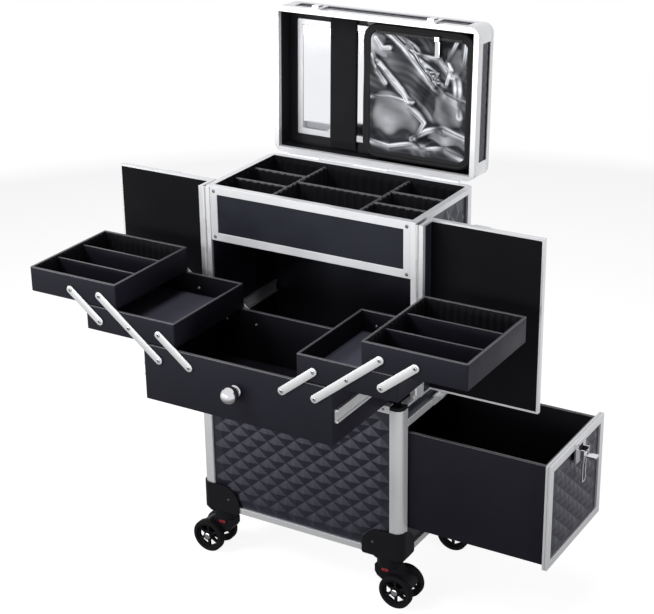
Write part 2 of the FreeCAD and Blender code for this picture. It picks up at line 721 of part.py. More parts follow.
def build_top_box():
    """The framed front, the rim, and the compartment box with its ribbed lining and dividers."""
    frame_half = half_width - hinge_post_leg
    frame = new_body("front_frame_body")
    sketch = sketch_on(frame, "XZ_Plane", -frame_back_y)
    rectangle(sketch, both(frame_half), (box_floor, rim_height))
    window = both(frame_half - front_frame_bar)
    window_high = (box_floor + front_frame_bar, rim_height - front_frame_bar)
    rectangle(sketch, window, window_high)
    pad(frame, sketch, metal_wall)
    piece("upper_front_frame", [frame])

    backing = board("front_backing", both(inner_x), (frame_back_y, box_front_y), (box_floor, rim_base))
    plate = board("front_plate", window, (front_y + front_panel_inset, frame_back_y), window_high)
    piece("upper_front_panel", [fuse("front_board", [backing, plate])])

    rim = new_body("rim_body")
    sketch = sketch_on(rim, "XY_Plane", rim_base)
    leg_end = front_y + post_leg
    polygon(sketch, [(-skin_x, frame_back_y), (skin_x, frame_back_y), (skin_x, leg_end),
                     (half_width, leg_end), (half_width, half_depth), (-half_width, half_depth),
                     (-half_width, leg_end), (-skin_x, leg_end)])
    rectangle(sketch, both(half_width - rim_width), (front_y + rim_width, half_depth - rim_width))
    ring_feature = pad(rim, sketch, rim_bar)
    rounded(rim, ring_feature, [(half_width, half_depth, rim_base), (-half_width, half_depth, rim_base)],
            post_radius)
    piece("top_rim", [rim])

    inside_y = (box_front_y, inner_y)
    floor = board("box_floor_board", both(inner_x), inside_y, (box_floor, box_floor_top))
    lining_z = (box_floor_top, rim_base)
    depth = inner_y - box_front_y
    sheet_wall = lining_wall + rib_height
    side_depth = depth - sheet_wall * 2
    lining = [
        ribbed("lining_front", (-inner_x, box_front_y), 0, inner_x * 2, lining_z, True),
        ribbed("lining_rear", (inner_x, inner_y), 180, inner_x * 2, lining_z, True),
        ribbed("lining_right", (inner_x, box_front_y + sheet_wall), 90, side_depth, lining_z, True),
        ribbed("lining_left", (-inner_x, inner_y - sheet_wall), -90, side_depth, lining_z, True)]
    piece("top_box_liner", [floor] + lining)

    inset = lining_wall + rib_height + fit_gap
    low_y, high_y = box_front_y + inset, inner_y - inset
    z = (box_floor_top, box_floor_top + divider_height)
    dividers = []
    for side in (-1, 1):
        x = divider_offset * side
        dividers.append(ribbed(f"long_divider_{side}", (x, low_y), 90, high_y - low_y, z))
    clear = divider_wall / 2 + rib_height + fit_gap
    outer_cell = (divider_offset + clear, inner_x - inset)
    middle_cell = (clear - divider_offset, divider_offset - clear)
    for share in (1 / 3, 2 / 3):
        y = low_y + (high_y - low_y) * share
        length = outer_cell[1] - outer_cell[0]
        dividers.append(ribbed(f"right_divider_{share:.2f}", (outer_cell[0], y), 0, length, z))
        dividers.append(ribbed(f"left_divider_{share:.2f}", (-outer_cell[1], y), 0, length, z))
    middle_y = (low_y + high_y) / 2
    length = middle_cell[1] - middle_cell[0]
    dividers.append(ribbed("middle_divider", (middle_cell[0], middle_y), 0, length, z))
    piece("top_box_dividers", dividers)


def knuckles(name, base, axis, length, kept, bored):
    """Alternate hinge knuckles along an axis: solid ones carry the pin, bored ones turn on it."""
    solids = []
    step = length / knuckle_count
    for index in range(knuckle_count):
        if index % 2 != kept:
            continue
        spot = list(base)
        which = "xyz".index(axis)
        spot[which] = base[which] + step * index + running_gap / 2
        tube = cylinder(f"{name}_{index}", hinge_radius, spot, step - running_gap, axis)
        if bored:
            hole = cylinder(f"{name}_bore_{index}", pin_radius + slide_gap, spot, step - running_gap, axis)
            tube = cut(f"{name}_tube_{index}", tube, hole)
        solids.append(tube)
    return solids


def build_hinges():
    """Fixed leaves, knuckles and pins of the two door hinges and of the lid hinge."""
    z0, z1 = deck_height + door_floor_gap, rim_height - door_top_gap
    axis_x, axis_y = half_width + hinge_offset, door_axis_y()
    leaf = board("door_leaf_fixed", (half_width - hinge_post_leg, half_width),
                 (front_y - leaf_wall, front_y), (z0, z1))
    pin = cylinder("door_pin", pin_radius, (axis_x, axis_y, z0), z1 - z0)
    tabs = []
    step = (z1 - z0) / knuckle_count
    for index in range(0, knuckle_count, 2):
        start = z0 + step * index + running_gap / 2
        tabs.append(board(f"door_tab_{index}", (half_width - hinge_post_leg, axis_x),
                          (front_y - leaf_wall, front_y), (start, start + step - running_gap)))
    solid = knuckles("door_knuckle_fixed", (axis_x, axis_y, z0), "z", z1 - z0, 0, False)
    right = fuse("right_fixed_hinge", [leaf, pin] + tabs + solid)
    left = mirrored("left_fixed_hinge", right)

    axis_y, axis_z = half_depth + hinge_offset, rim_height + leaf_gap
    start_x = -lid_hinge_length / 2
    leaf = board("lid_leaf_fixed", both(lid_hinge_length / 2), (half_depth, half_depth + leaf_wall),
                 (axis_z - lid_leaf, axis_z - hinge_radius - running_gap))
    pin = cylinder("lid_pin", pin_radius, (start_x, axis_y, axis_z), lid_hinge_length, "x")
    tabs = []
    step = lid_hinge_length / knuckle_count
    for index in range(0, knuckle_count, 2):
        start = start_x + step * index + running_gap / 2
        tabs.append(board(f"lid_tab_{index}", (start, start + step - running_gap),
                          (half_depth, half_depth + leaf_wall), (axis_z - lid_leaf, axis_z)))
    solid = knuckles("lid_knuckle_fixed", (start_x, axis_y, axis_z), "x", lid_hinge_length, 0, False)
    piece("hinge_leaves", [right, left, fuse("lid_fixed_hinge", [leaf, pin] + tabs + solid)])


def door_axis_y():
    """The door hinge's axis lies midway between its two leaves, in front of the hinge post."""
    return front_y - leaf_wall - leaf_gap / 2


def build_doors():
    """Two L-shaped doors swung half a turn open: panel, hinge-side return and aluminium edge."""
    axis_x, axis_y = half_width + hinge_offset, door_axis_y()
    near_x = axis_x + hinge_offset
    far_x = axis_x * 2 - door_meet_gap
    skin = axis_y * 2 + half_depth - metal_wall
    outer_face = skin + metal_wall
    inner_face = skin - wall_board
    end_y = axis_y + leaf_wall + leaf_gap / 2
    z = (deck_height + door_floor_gap, rim_height - door_top_gap)
    return_x = (near_x, near_x + wall_board + flange_wall)

    frame = new_body("door_frame_body")
    rim = sketch_on(frame, "XZ_Plane", -outer_face)
    rectangle(rim, (near_x, far_x), z)
    rectangle(rim, (near_x + door_lip, far_x - door_lip), (z[0] + door_lip, z[1] - door_lip))
    pad(frame, rim, outer_face - inner_face)
    flange = sketch_on(frame, "XZ_Plane", -outer_face)
    rectangle(flange, (near_x, far_x), z)
    rectangle(flange, (near_x + door_bar, far_x - door_bar), (z[0] + door_bar, z[1] - door_bar))
    pad(frame, flange, metal_wall)
    cap_end = end_y + door_end_cap
    pieces = [
        frame,
        board("door_end_cap", return_x, (end_y, cap_end), z),
        board("door_top_cap", return_x, (cap_end, inner_face), (z[1] - door_lip, z[1])),
        board("door_foot_cap", return_x, (cap_end, inner_face), (z[0], z[0] + door_lip)),
        board("door_leaf", (near_x, near_x + hinge_post_leg), (end_y - leaf_wall, end_y), z)]
    keeper_x = axis_x * 2 - latch_offset
    pieces.append(board("door_keeper", (keeper_x - keeper_width / 2, keeper_x + keeper_width / 2),
                        (outer_face, outer_face + keeper_wall), (z[1] - keeper_height, z[1])))
    step = (z[1] - z[0]) / knuckle_count
    bore = cylinder("door_leaf_bore", pin_radius + slide_gap, (axis_x, axis_y, z[0]), z[1] - z[0])
    for index in range(1, knuckle_count, 2):
        start = z[0] + step * index + running_gap / 2
        pieces.append(board(f"door_leaf_tab_{index}", (axis_x, near_x), (end_y - leaf_wall, end_y),
                            (start, start + step - running_gap)))
        pieces.append(cylinder(f"door_knuckle_{index}", hinge_radius, (axis_x, axis_y, start),
                               step - running_gap))
    right_frame = cut("right_door_frame_solid", fuse("door_frame_whole", pieces), bore)
    piece("right_door_frame", [right_frame])
    piece("left_door_frame", [mirrored("left_door_frame_solid", right_frame)])

    border = door_bar - door_lip
    relief = embossed("door_relief", far_x - near_x - door_lip * 2, z[1] - z[0] - door_lip * 2,
                      (border, border, border, border), wall_board,
                      (far_x - door_lip, skin, z[0] + door_lip), Vector(-1, 0, 0), Vector(0, 0, 1))
    cheek = board("door_return", (near_x + flange_wall / 2, near_x + flange_wall / 2 + wall_board),
                  (cap_end, inner_face), (z[0] + door_lip, z[1] - door_lip))
    piece("right_door_panel", [relief, cheek])
    piece("left_door_panel", [mirrored("left_door_relief", relief), mirrored("left_door_return", cheek)])


def build_lid():
    """The lid about its hinge axis: shell, frames, lining, mirror, strap, bag, zip pull, latches."""
    hinge = (0, half_depth + hinge_offset, rim_height + leaf_gap)
    turn = {"base": hinge, "axis": Vector(1, 0, 0), "angle": (-lid_angle).text}
    x = both(lid_width / 2)
    y = (-hinge_offset - lid_depth, -hinge_offset)
    rim_top = leaf_gap + lid_rim_bar
    edge_low = lid_thickness - lid_edge_bar

    walls_x = both(lid_width / 2 - lid_wall_inset)
    walls_y = (y[0] + lid_wall_inset, y[1] - lid_wall_inset)
    walls = ring("lid_walls", walls_x, walls_y, wall_board, (rim_top, edge_low), lid_radius - lid_wall_inset)
    board_x = both(lid_width / 2 - lid_edge_width)
    board_y = (y[0] + lid_edge_width, y[1] - lid_edge_width)
    skin = lid_thickness - metal_wall
    relief = embossed("lid_relief", board_x[1] - board_x[0], board_y[1] - board_y[0], (relief_border,) * 4,
                      skin - edge_low, (board_x[0], board_y[0], skin), Vector(1, 0, 0), Vector(0, 1, 0))
    piece("lid_shell", [walls, relief], **turn)

    rim = ring("lid_rim", x, y, lid_rim_width, (leaf_gap, rim_top), lid_radius)
    edge = ring("lid_edge", x, y, lid_edge_width, (edge_low, lid_thickness), lid_radius)
    start_x = -lid_hinge_length / 2
    step = lid_hinge_length / knuckle_count
    leaf = board("lid_leaf", both(lid_hinge_length / 2), (y[1], y[1] + leaf_wall),
                 (hinge_radius + running_gap, lid_leaf))
    pieces = [leaf]
    for index in range(1, knuckle_count, 2):
        start = start_x + step * index + running_gap / 2
        pieces.append(board(f"lid_leaf_tab_{index}", (start, start + step - running_gap),
                            (y[1], y[1] + leaf_wall), (0, lid_leaf)))
        pieces.append(cylinder(f"lid_knuckle_{index}", hinge_radius, (start, 0, 0), step - running_gap, "x"))
    bore = cylinder("lid_leaf_bore", pin_radius + slide_gap, (start_x, 0, 0), lid_hinge_length, "x")
    leaf = cut("lid_leaf_solid", fuse("lid_leaf_whole", pieces), bore)
    bases = []
    for side in (-1, 1):
        middle = latch_offset * side
        bases.append(board(f"latch_base_{side}", (middle - latch_width / 2, middle + latch_width / 2),
                           (y[0] - leaf_wall, y[0] + lid_wall_inset), (rim_top, rim_top + latch_base)))
    piece("lid_frame", [rim, edge, leaf] + bases, **turn)

    inside_x = both(lid_width / 2 - lid_wall_inset - wall_board)
    inside_y = (walls_y[0] + wall_board, walls_y[1] - wall_board)
    lining_low = edge_low - lining_board
    piece("lid_lining", [board("lining_board_solid", inside_x, inside_y, (lining_low, edge_low))], **turn)

    mirror_x = (inside_x[0] + mirror_margin, inside_x[0] + mirror_margin + mirror_width)
    mirror_y = (-mirror_rise - mirror_length, -mirror_rise)
    mirror_z = (lining_low - mirror_wall, lining_low)
    frame = ring("mirror_ring", mirror_x, mirror_y, mirror_bar, mirror_z, mirror_wall)
    piece("mirror_frame", [frame], **turn)
    glass = board("mirror_pane", (mirror_x[0] + mirror_bar, mirror_x[1] - mirror_bar),
                  (mirror_y[0] + mirror_bar, mirror_y[1] - mirror_bar),
                  (mirror_z[0] + strap_wall, mirror_z[1]))
    piece("mirror_glass", [glass], **turn)
    strap_middle = (mirror_x[0] + mirror_x[1]) / 2
    strap_x = (strap_middle - strap_width / 2, strap_middle + strap_width / 2)
    piece("mirror_strap", [board("strap_band", strap_x, inside_y, (mirror_z[0] - strap_wall, mirror_z[0]))],
          **turn)

    bag_x = (inside_x[1] - bag_margin - bag_width, inside_x[1] - bag_margin)
    bag_y = (-bag_rise - bag_length, -bag_rise)
    bag_back = mirror_z[0] - strap_wall - slide_gap
    bag = new_body("bag_body")
    sketch = sketch_on(bag, "XY_Plane", bag_back - bag_depth)
    rectangle(sketch, bag_x, bag_y)
    feature = pad(bag, sketch, bag_depth)
    rounded(bag, feature, [(a, b, bag_back) for a in bag_x for b in bag_y], bag_radius)
    hem = board("bag_hem_strip", (mirror_x[1] + bag_margin, bag_x[1] - bag_radius),
                (bag_y[0], bag_y[0] + bag_hem), (bag_back, lining_low))
    piece("zip_bag", [fuse("bag_solid", [bag, hem])], **turn)

    bag_front = bag_back - bag_depth
    slider_y = bag_y[0] + zip_edge
    slider = board("zip_slider_body", (zip_across - zip_width / 2, zip_across + zip_width / 2),
                   (slider_y, slider_y + zip_width),
                   (bag_front - slide_gap - zip_slider, bag_front - slide_gap))
    tab = board("zip_tab", (zip_across - zip_width / 2, zip_across + zip_width / 2),
                (slider_y + zip_width, slider_y + zip_length),
                (bag_front - slide_gap - zip_wall, bag_front - slide_gap))
    piece("zip_pull", [fuse("zip_pull_solid", [slider, tab])], **turn)

    for side, hand in ((-1, "left"), (1, "right")):
        middle = latch_offset * side
        face = y[0] - leaf_wall - slide_gap
        plate = board(f"{hand}_latch_plate", (middle - latch_width / 2, middle + latch_width / 2),
                      (face - latch_wall, face), (-latch_drop, latch_length - latch_drop))
        lever_low = -latch_drop / 2
        lever = board(f"{hand}_latch_lever",
                      (middle - latch_lever_width / 2, middle + latch_lever_width / 2),
                      (face - latch_wall - latch_lever_rise, face - latch_wall),
                      (lever_low, lever_low + latch_lever_length))
        piece(f"{hand}_lid_latch", [fuse(f"{hand}_latch_solid", [plate, lever])], **turn)


def open_box(name, x, y, z, wall, floor_wall):
    """An open box of five boards."""
    inner_side = (x[0] + wall, x[1] - wall)
    inner_run = (y[0] + wall, y[1] - wall)
    return [
        board(f"{name}_front", x, (y[0], inner_run[0]), z),
        board(f"{name}_back", x, (inner_run[1], y[1]), z),
        board(f"{name}_left", (x[0], inner_side[0]), inner_run, z),
        board(f"{name}_right", (inner_side[1], x[1]), inner_run, z),
        board(f"{name}_floor", inner_side, inner_run, (z[0], z[0] + floor_wall))]


def slide_channel(name, face, away, run, middle, along_y):
    """A slide member of channel section: a web on its mounting face and two lips."""
    z = (middle - slide_height / 2, middle + slide_height / 2)

    def span(near, far):
        ends = (face + near * away, face + far * away)
        return ends if away > 0 else ends[::-1]

    shapes = []
    for index, (depth, height) in enumerate((
            (span(0, slide_web), z),
            (span(slide_web, slide_depth), (z[0], z[0] + slide_lip)),
            (span(slide_web, slide_depth), (z[1] - slide_lip, z[1])))):
        spot = (depth, run) if along_y else (run, depth)
        shapes.append(board(f"{name}_{index}", spot[0], spot[1], height))
    return fuse(name, shapes)


def slide_bar(name, inner_face, outer_face, run, middle, along_y):
    """The middle slide member, a bar that runs inside both channels."""
    half = slide_height / 2 - slide_lip - slide_gap
    across = (inner_face + slide_web + slide_gap, outer_face - slide_web - slide_gap)
    if across[0].value > across[1].value:
        across = (outer_face + slide_web + slide_gap, inner_face - slide_web - slide_gap)
    spot = (across, run) if along_y else (run, across)
    return board(name, spot[0], spot[1], (middle - half, middle + half))


def build_drawer():
    """The middle drawer, pulled right out on three-part slides, and its round knob."""
    half = drawer_width / 2
    y = (-drawer_front_y, drawer_depth - drawer_front_y)
    bottom = deck_height + drawer_lift
    z = (bottom, bottom + drawer_height)
    piece("drawer_box", open_box("drawer", both(half), y, z, drawer_board, drawer_board))

    middle = z[1] - drawer_slide_drop
    moving_run = (y[0] + drawer_board, y[0] + drawer_board + drawer_slide_length)
    fixed_run = (frame_back_y, frame_back_y + drawer_slide_length)
    centre_start = (moving_run[0] + fixed_run[0]) / 2
    centre_run = (centre_start, centre_start + drawer_slide_length)
    moving, centre, fixed = [], [], []
    for side, hand in ((-1, "left"), (1, "right")):
        drawer_face, case_face = half * side, inner_x * side
        moving.append(slide_channel(f"{hand}_drawer_slide", drawer_face, side, moving_run, middle, True))
        centre.append(slide_bar(f"{hand}_centre_slide", drawer_face, case_face, centre_run, middle, True))
        fixed.append(slide_channel(f"{hand}_case_slide", case_face, -side, fixed_run, middle, True))
    piece("drawer_rails", moving)
    piece("drawer_mid_rails", centre)

    knob = new_body("knob_body")
    sketch = sketch_on(knob, "XY_Plane")
    ball_start = knob_reach - knob_radius * 2
    steps = 8
    arc = [(knob_radius * math.sin(math.pi * k / steps),
            ball_start + knob_radius - knob_radius * math.cos(math.pi * k / steps)) for k in range(1, steps)]
    neck_join = [(radius, height) for radius, height in arc if radius.value > knob_neck.value]
    polygon(sketch, [(0, 0), (knob_base, 0), (knob_base, flange_wall), (knob_neck, flange_wall),
                     (knob_neck, neck_join[0][1] - leaf_gap)] + neck_join + [(0, knob_reach)])
    spin = knob.newObject("PartDesign::Revolution", "knob_spin")
    spin.Profile = sketch
    spin.ReferenceAxis = (sketch, ["V_Axis"])
    spin.Angle = 360
    piece("drawer_knob", [knob], (0, y[0], z[1] - knob_drop), Vector(0, 0, 1), "180")
    return fixed


def build_trays():
    """Four cantilever trays and the parallel arms that carry them, on both sides of the drawer."""
    front, back = -drawer_front_y, drawer_depth - drawer_front_y
    drawer_top = deck_height + drawer_lift + drawer_height
    lower_z = drawer_top + tray_lift
    upper_z = lower_z + tray_pitch
    lower_x = tray_meet_gap + arm_reach * 2
    upper_x = tray_meet_gap + arm_reach * 4
    trays = {}
    for level, x, z in (("lower", lower_x, lower_z), ("upper", upper_x, upper_z)):
        solids = open_box(f"{level}_tray", (x, x + tray_width), (front, back), (z, z + tray_height),
                          tray_board, tray_board)
        if level == "upper":
            inside = tray_width - tray_board * 2 - fit_gap * 2
            top = z + tray_height - tray_divider_drop
            for share in (1 / 3, 2 / 3):
                y = front + (back - front) * share
                solids.append(ribbed(f"tray_divider_{share:.2f}", (x + tray_board + fit_gap, y), 0, inside,
                                     (z + tray_board, top)))
        trays[level] = solids
        piece(f"right_{level}_tray", solids)
        piece(f"left_{level}_tray", [mirrored(f"left_{solid.Name}", solid) for solid in solids])

    length = Size(f"sqrt({arm_reach.text} ^ 2 + {tray_pitch.text} ^ 2)",
                  math.hypot(arm_reach.value, tray_pitch.value))
    lean = f"-1 * atan({tray_pitch.text} / {arm_reach.text})"
    pivot_z = drawer_top - pivot_drop
    long_x = pivot_first + pivot_spacing
    arms = (
        ("long_arms", long_x, pivot_z, 2),
        ("drawer_links", pivot_first, pivot_z, 1),
        ("tray_links", long_x + pivot_spacing + arm_reach, pivot_z + tray_pitch, 1))
    for label, x, z, spans in arms:
        bars = []
        for end, face, outward in (("front", front - arm_gap, -1), ("rear", back + arm_gap, 1)):
            body = new_body(f"{label}_{end}")
            bar_y = face if outward > 0 else face - arm_wall
            sketch = sketch_on(body, "XZ_Plane", -(bar_y + arm_wall))
            half = arm_width / 2
            rectangle(sketch, (-half, length * spans + half), both(half))
            feature = pad(body, sketch, arm_wall)
            corners = [(a, bar_y, b) for a in (-half, length * spans + half) for b in both(half)]
            rounded(body, feature, corners, half - fit_gap / 2, Vector(0, 1, 0))
            head = sketch_on(body, "XZ_Plane", -(bar_y + arm_wall) if outward > 0 else -bar_y)
            for pivot in range(spans + 1):
                circle(head, (length * pivot, 0), rivet_radius)
            pad(body, head, rivet_head, backwards=outward > 0)
            place(body, (x, 0, z), Vector(0, 1, 0), lean)
            bars.append(body)
        piece(f"right_{label}", bars)
        piece(f"left_{label}", [mirrored(f"left_{bar.Name}", bar) for bar in bars])


def build_side_drawer(fixed_slides):
    """The deep drawer pulled out to the right, its embossed front, catch, hasp and slides."""
    end_x = half_width + side_pull
    x = (end_x - side_length, end_x)
    half = inner_y - side_slide_room
    z = (side_bottom, side_bottom + side_height)
    piece("side_drawer_box", open_box("deep_drawer", x, both(half), z, side_board, side_board))

    plate_z = (side_bottom - front_plate_drop, side_bottom - front_plate_drop + front_plate_height)
    plate_y = both(front_plate_width / 2)
    face_x = end_x + front_plate_wall
    skin = face_x - metal_wall
    frame = new_body("side_frame_body")
    sketch = sketch_on(frame, "YZ_Plane", skin)
    rectangle(sketch, plate_y, plate_z)
    window_y = (plate_y[0] + front_plate_bar, plate_y[1] - front_plate_bar)
    window_z = (plate_z[0] + front_plate_bar, plate_z[1] - front_plate_bar)
    rectangle(sketch, window_y, window_z)
    pad(frame, sketch, metal_wall)
    piece("side_drawer_frame", [frame])
    border = front_plate_bar + relief_border
    relief = embossed("side_relief", front_plate_width, front_plate_height, (border,) * 4, skin - end_x,
                      (skin, plate_y[0], plate_z[0]), Vector(0, 1, 0), Vector(0, 0, 1))
    piece("side_drawer_front", [relief])

    middle = z[1] - side_slide_drop
    runner_run = (x[0] + side_board, x[0] + side_board + runner_length)
    runner_half = slide_height / 2 - slide_lip - slide_gap
    runner_edge = inner_y - slide_web - slide_gap
    runner_z = (middle - runner_half, middle + runner_half)
    fixed_run = (inner_x - side_slide_length, inner_x)
    runners = []
    for side, hand in ((-1, "front"), (1, "rear")):
        across = (half, runner_edge) if side > 0 else (-runner_edge, -half)
        runners.append(board(f"{hand}_runner", runner_run, across, runner_z))
        channel = slide_channel(f"{hand}_side_case", inner_y * side, -side, fixed_run, middle, False)
        fixed_slides.append(channel)
    piece("side_drawer_runners", runners)
    piece("cabinet_rails", fixed_slides)

    build_catch(face_x, plate_z[1] - catch_drop)


def build_catch(face_x, top):
    """The drawer's catch: an eared base on the frame, and a lever with a wire loop that turns on its pin."""
    plate_y = (catch_offset - catch_width / 2, catch_offset + catch_width / 2)
    base = new_body("catch_base")
    sketch = sketch_on(base, "YZ_Plane", face_x)
    rectangle(sketch, plate_y, (top - catch_length, top))
    window_y = (catch_offset - ear_spacing / 2, catch_offset + ear_spacing / 2)
    rectangle(sketch, window_y, (top - catch_length + catch_wall, top - catch_wall * 2))
    pad(base, sketch, catch_wall)
    axis_x = face_x + catch_wall + ear_reach * 0.6
    axis_z = top - catch_pivot_drop
    ear_x = (face_x, face_x + catch_wall + ear_reach)
    ear_z = (axis_z - ear_height / 2, axis_z + ear_height / 2)
    ears = [
        board("front_ear", ear_x, (window_y[0] - ear_wall, window_y[0]), ear_z),
        board("rear_ear", ear_x, (window_y[1], window_y[1] + ear_wall), ear_z)]
    pin_start = (axis_x, window_y[0] - ear_wall, axis_z)
    pin = cylinder("catch_pin", pin_radius, pin_start, ear_spacing + ear_wall * 2, "y")
    piece("drawer_latch", [fuse("catch_solid", [base, pin] + ears)])

    lever_y = (catch_offset - hasp_width / 2, catch_offset + hasp_width / 2)
    barrel = cylinder("hasp_barrel", barrel_radius, (axis_x, lever_y[0], axis_z), hasp_width, "y")
    lever = board("hasp_lever", (axis_x, axis_x + lever_length), lever_y,
                  (axis_z - hasp_bar / 2, axis_z + hasp_bar / 2))
    loop = new_body("hasp_loop_body")
    sketch = sketch_on(loop, "YZ_Plane", axis_x - hasp_bar / 2)
    loop_low = axis_z - hasp_length
    rectangle(sketch, lever_y, (loop_low, axis_z))
    rectangle(sketch, (lever_y[0] + hasp_bar, lever_y[1] - hasp_bar),
              (loop_low + hasp_bar, axis_z - barrel_radius * 2))
    feature = pad(loop, sketch, hasp_bar)
    rounded(loop, feature, [(axis_x, a, loop_low) for a in lever_y], hasp_bar * 1.5, Vector(1, 0, 0))
    bore = cylinder("hasp_bore", pin_radius + slide_gap, (axis_x, lever_y[0], axis_z), hasp_width, "y")
    piece("latch_hasp", [cut("hasp_solid", fuse("hasp_whole", [barrel, lever, loop]), bore)])


def build_casters():
    """Four swivel casters: a hood with stem and axle, and a pair of spoked wheels."""
    hood = new_body("caster_hood")
    sketch = sketch_on(hood, "XZ_Plane")
    top = neck_bottom - slide_gap
    axle_z = wheel_radius
    fender = [(wheel_radius * 0.9, angle) for angle in (78, 66, 54, 42, 30, 18)]
    boss = [(hub_radius * 1.3, angle) for angle in (0, -30, -60, -90, -120, -150)]
    curve = [(caster_trail + radius * math.cos(math.radians(angle)),
              axle_z + radius * math.sin(math.radians(angle))) for radius, angle in fender + boss]
    polygon(sketch, [(-neck_radius, top), (neck_radius, top)] + curve
            + [(-neck_radius * 0.3, axle_z + hub_radius * 1.3),
               (-neck_radius * 0.75, axle_z + hub_radius * 2),
               (-neck_radius, axle_z + hub_radius * 3)])
    pad(hood, sketch, hood_width, midplane=True)
    stem = cylinder("caster_stem", stem_radius, (0, 0, top - stem_radius), stem_length + stem_radius)
    axle_half = hood_width / 2 + running_gap + wheel_width
    axle = cylinder("caster_axle", axle_radius, (caster_trail, -axle_half, axle_z), axle_half * 2, "y")
    yoke = fuse("caster_yoke", [hood, stem, axle])

    wheel = new_body("caster_wheel")
    profile = sketch_on(wheel, "XY_Plane")
    near, far = hood_width / 2 + running_gap, hood_width / 2 + running_gap + wheel_width
    middle = (near + far) / 2
    web = (middle - web_wall / 2, middle + web_wall / 2)
    rim_radius = wheel_radius - tyre_depth
    shoulder = wheel_width / 6
    bore = axle_radius + slide_gap
    polygon(profile, [
        (bore, near), (hub_radius, near), (hub_radius, web[0]), (rim_radius, web[0]), (rim_radius, near),
        (wheel_radius - shoulder, near), (wheel_radius, near + shoulder), (wheel_radius, far - shoulder),
        (wheel_radius - shoulder, far), (rim_radius, far), (rim_radius, web[1]), (hub_radius, web[1]),
        (hub_radius, far), (bore, far)])
    spin = wheel.newObject("PartDesign::Revolution", "wheel_spin")
    spin.Profile = profile
    spin.ReferenceAxis = (profile, ["V_Axis"])
    spin.Angle = 360
    doc.recompute()
    whole = spin.Shape.Volume
    gap = sketch_on(wheel, "XZ_Plane")
    half_turn = math.pi / spoke_count
    reach = rim_radius - leaf_wall
    start = hub_radius + leaf_wall
    side_in = start * math.tan(half_turn) - spoke_width / 2
    side_out = reach * math.sin(half_turn) - spoke_width / 2
    polygon(gap, [(start, -side_in), (reach * math.cos(half_turn), -side_out),
                  (reach * math.cos(half_turn), side_out), (start, side_in)])
    pocket = wheel.newObject("PartDesign::Pocket", "spoke_gap")
    pocket.Profile = gap
    pocket.Type = "ThroughAll"
    pocket.Midplane = True
    doc.recompute()
    spokes = wheel.newObject("PartDesign::PolarPattern", "spoke_gaps")
    spokes.Originals = [pocket]
    spokes.Axis = (profile, ["V_Axis"])
    spokes.Angle = 360
    spokes.Occurrences = spoke_count
    wheel.Tip = spokes
    doc.recompute()
    if not wheel.Shape.Volume < pocket.Shape.Volume < whole:
        raise RuntimeError("the wheel's spoke gaps did not cut")
    twin = mirrored("caster_wheel_twin", wheel, Vector(0, 1, 0))

    for side_x, hand in ((-1, "left"), (1, "right")):
        for side_y, end in ((-1, "front"), (1, "rear")):
            axis_x = (half_width - caster_inset_x) * side_x
            axis_y = (half_depth - caster_inset_y) * side_y
            turn = "0" if side_x > 0 else "180"
            piece(f"{end}_{hand}_caster", [yoke], (axis_x, axis_y, 0), Vector(0, 0, 1), turn)
            piece(f"{end}_{hand}_wheels", [wheel, twin], (axis_x + caster_trail * side_x, axis_y, axle_z),
                  Vector(0, 0, 1), turn)


def build_handle():
    """The telescopic handle, pushed down: two tubes with a grip, in two sleeves on the rear panel."""
    middle_y = half_depth + clamp_overhang + tube_radius + sleeve_wall
    sleeve_radius = tube_radius + sleeve_wall
    sleeves, tubes = [], []
    for side, hand in ((-1, "left"), (1, "right")):
        x = handle_spacing / 2 * side
        foot = (x, middle_y, sleeve_bottom)
        bar = cylinder(f"{hand}_sleeve_bar", sleeve_radius, foot, sleeve_top - sleeve_bottom)
        clamp_x = (x - sleeve_radius - clamp_overhang, x + sleeve_radius + clamp_overhang)
        clamps = [
            board(f"{hand}_clamp_{index}", clamp_x, (half_depth, middle_y), (low, low + clamp_height))
            for index, low in enumerate((sleeve_bottom, sleeve_top - clamp_height))]
        bore = cylinder(f"{hand}_sleeve_bore", tube_radius + slide_gap, foot, sleeve_top - sleeve_bottom)
        sleeves.append(cut(f"{hand}_sleeve", fuse(f"{hand}_sleeve_whole", [bar] + clamps), bore))
        tube_foot = handle_top - grip_height - tube_length
        tubes.append(cylinder(f"{hand}_tube", tube_radius, (x, middle_y, tube_foot), tube_length))
    piece("handle_sleeves", sleeves)
    grip = board("grip_bar", both(handle_spacing / 2 + grip_overhang),
                 (middle_y - grip_depth / 2, middle_y + grip_depth / 2),
                 (handle_top - grip_height, handle_top))
    piece("telescopic_handle", [fuse("handle_solid", [grip] + tubes)])


def check_and_export():
    """Stops on any failed object or bad shape, then writes each sub-part to its own file."""
    doc.recompute()
    failed = [item.Name for item in doc.Objects if {"Invalid", "Error"} & set(item.State)]
    if failed:
        raise RuntimeError("failed objects: " + ", ".join(failed))
    for item in parts:
        if item.Shape.isNull() or not item.Shape.isValid() or not item.Shape.Solids:
            raise RuntimeError("bad shape: " + item.Label)
    os.makedirs("parts", exist_ok=True)
    for item in parts:
        item.Shape.exportStep(f"parts/{item.Label}.step")
    print(len(parts), "sub-parts,", sum(len(item.Shape.Solids) for item in parts), "solids")


doc.recompute()
build_lower_case()
build_brackets()
build_top_box()
build_hinges()
build_doors()
build_lid()
case_slides = build_drawer()
build_trays()
build_side_drawer(case_slides)
build_casters()
build_handle()
check_and_export()
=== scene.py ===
"""Studio scene of an open wheeled makeup train case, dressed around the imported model."""
import json
import logging
import math
from collections.abc import Callable
from dataclasses import dataclass
from enum import Enum
from functools import cache

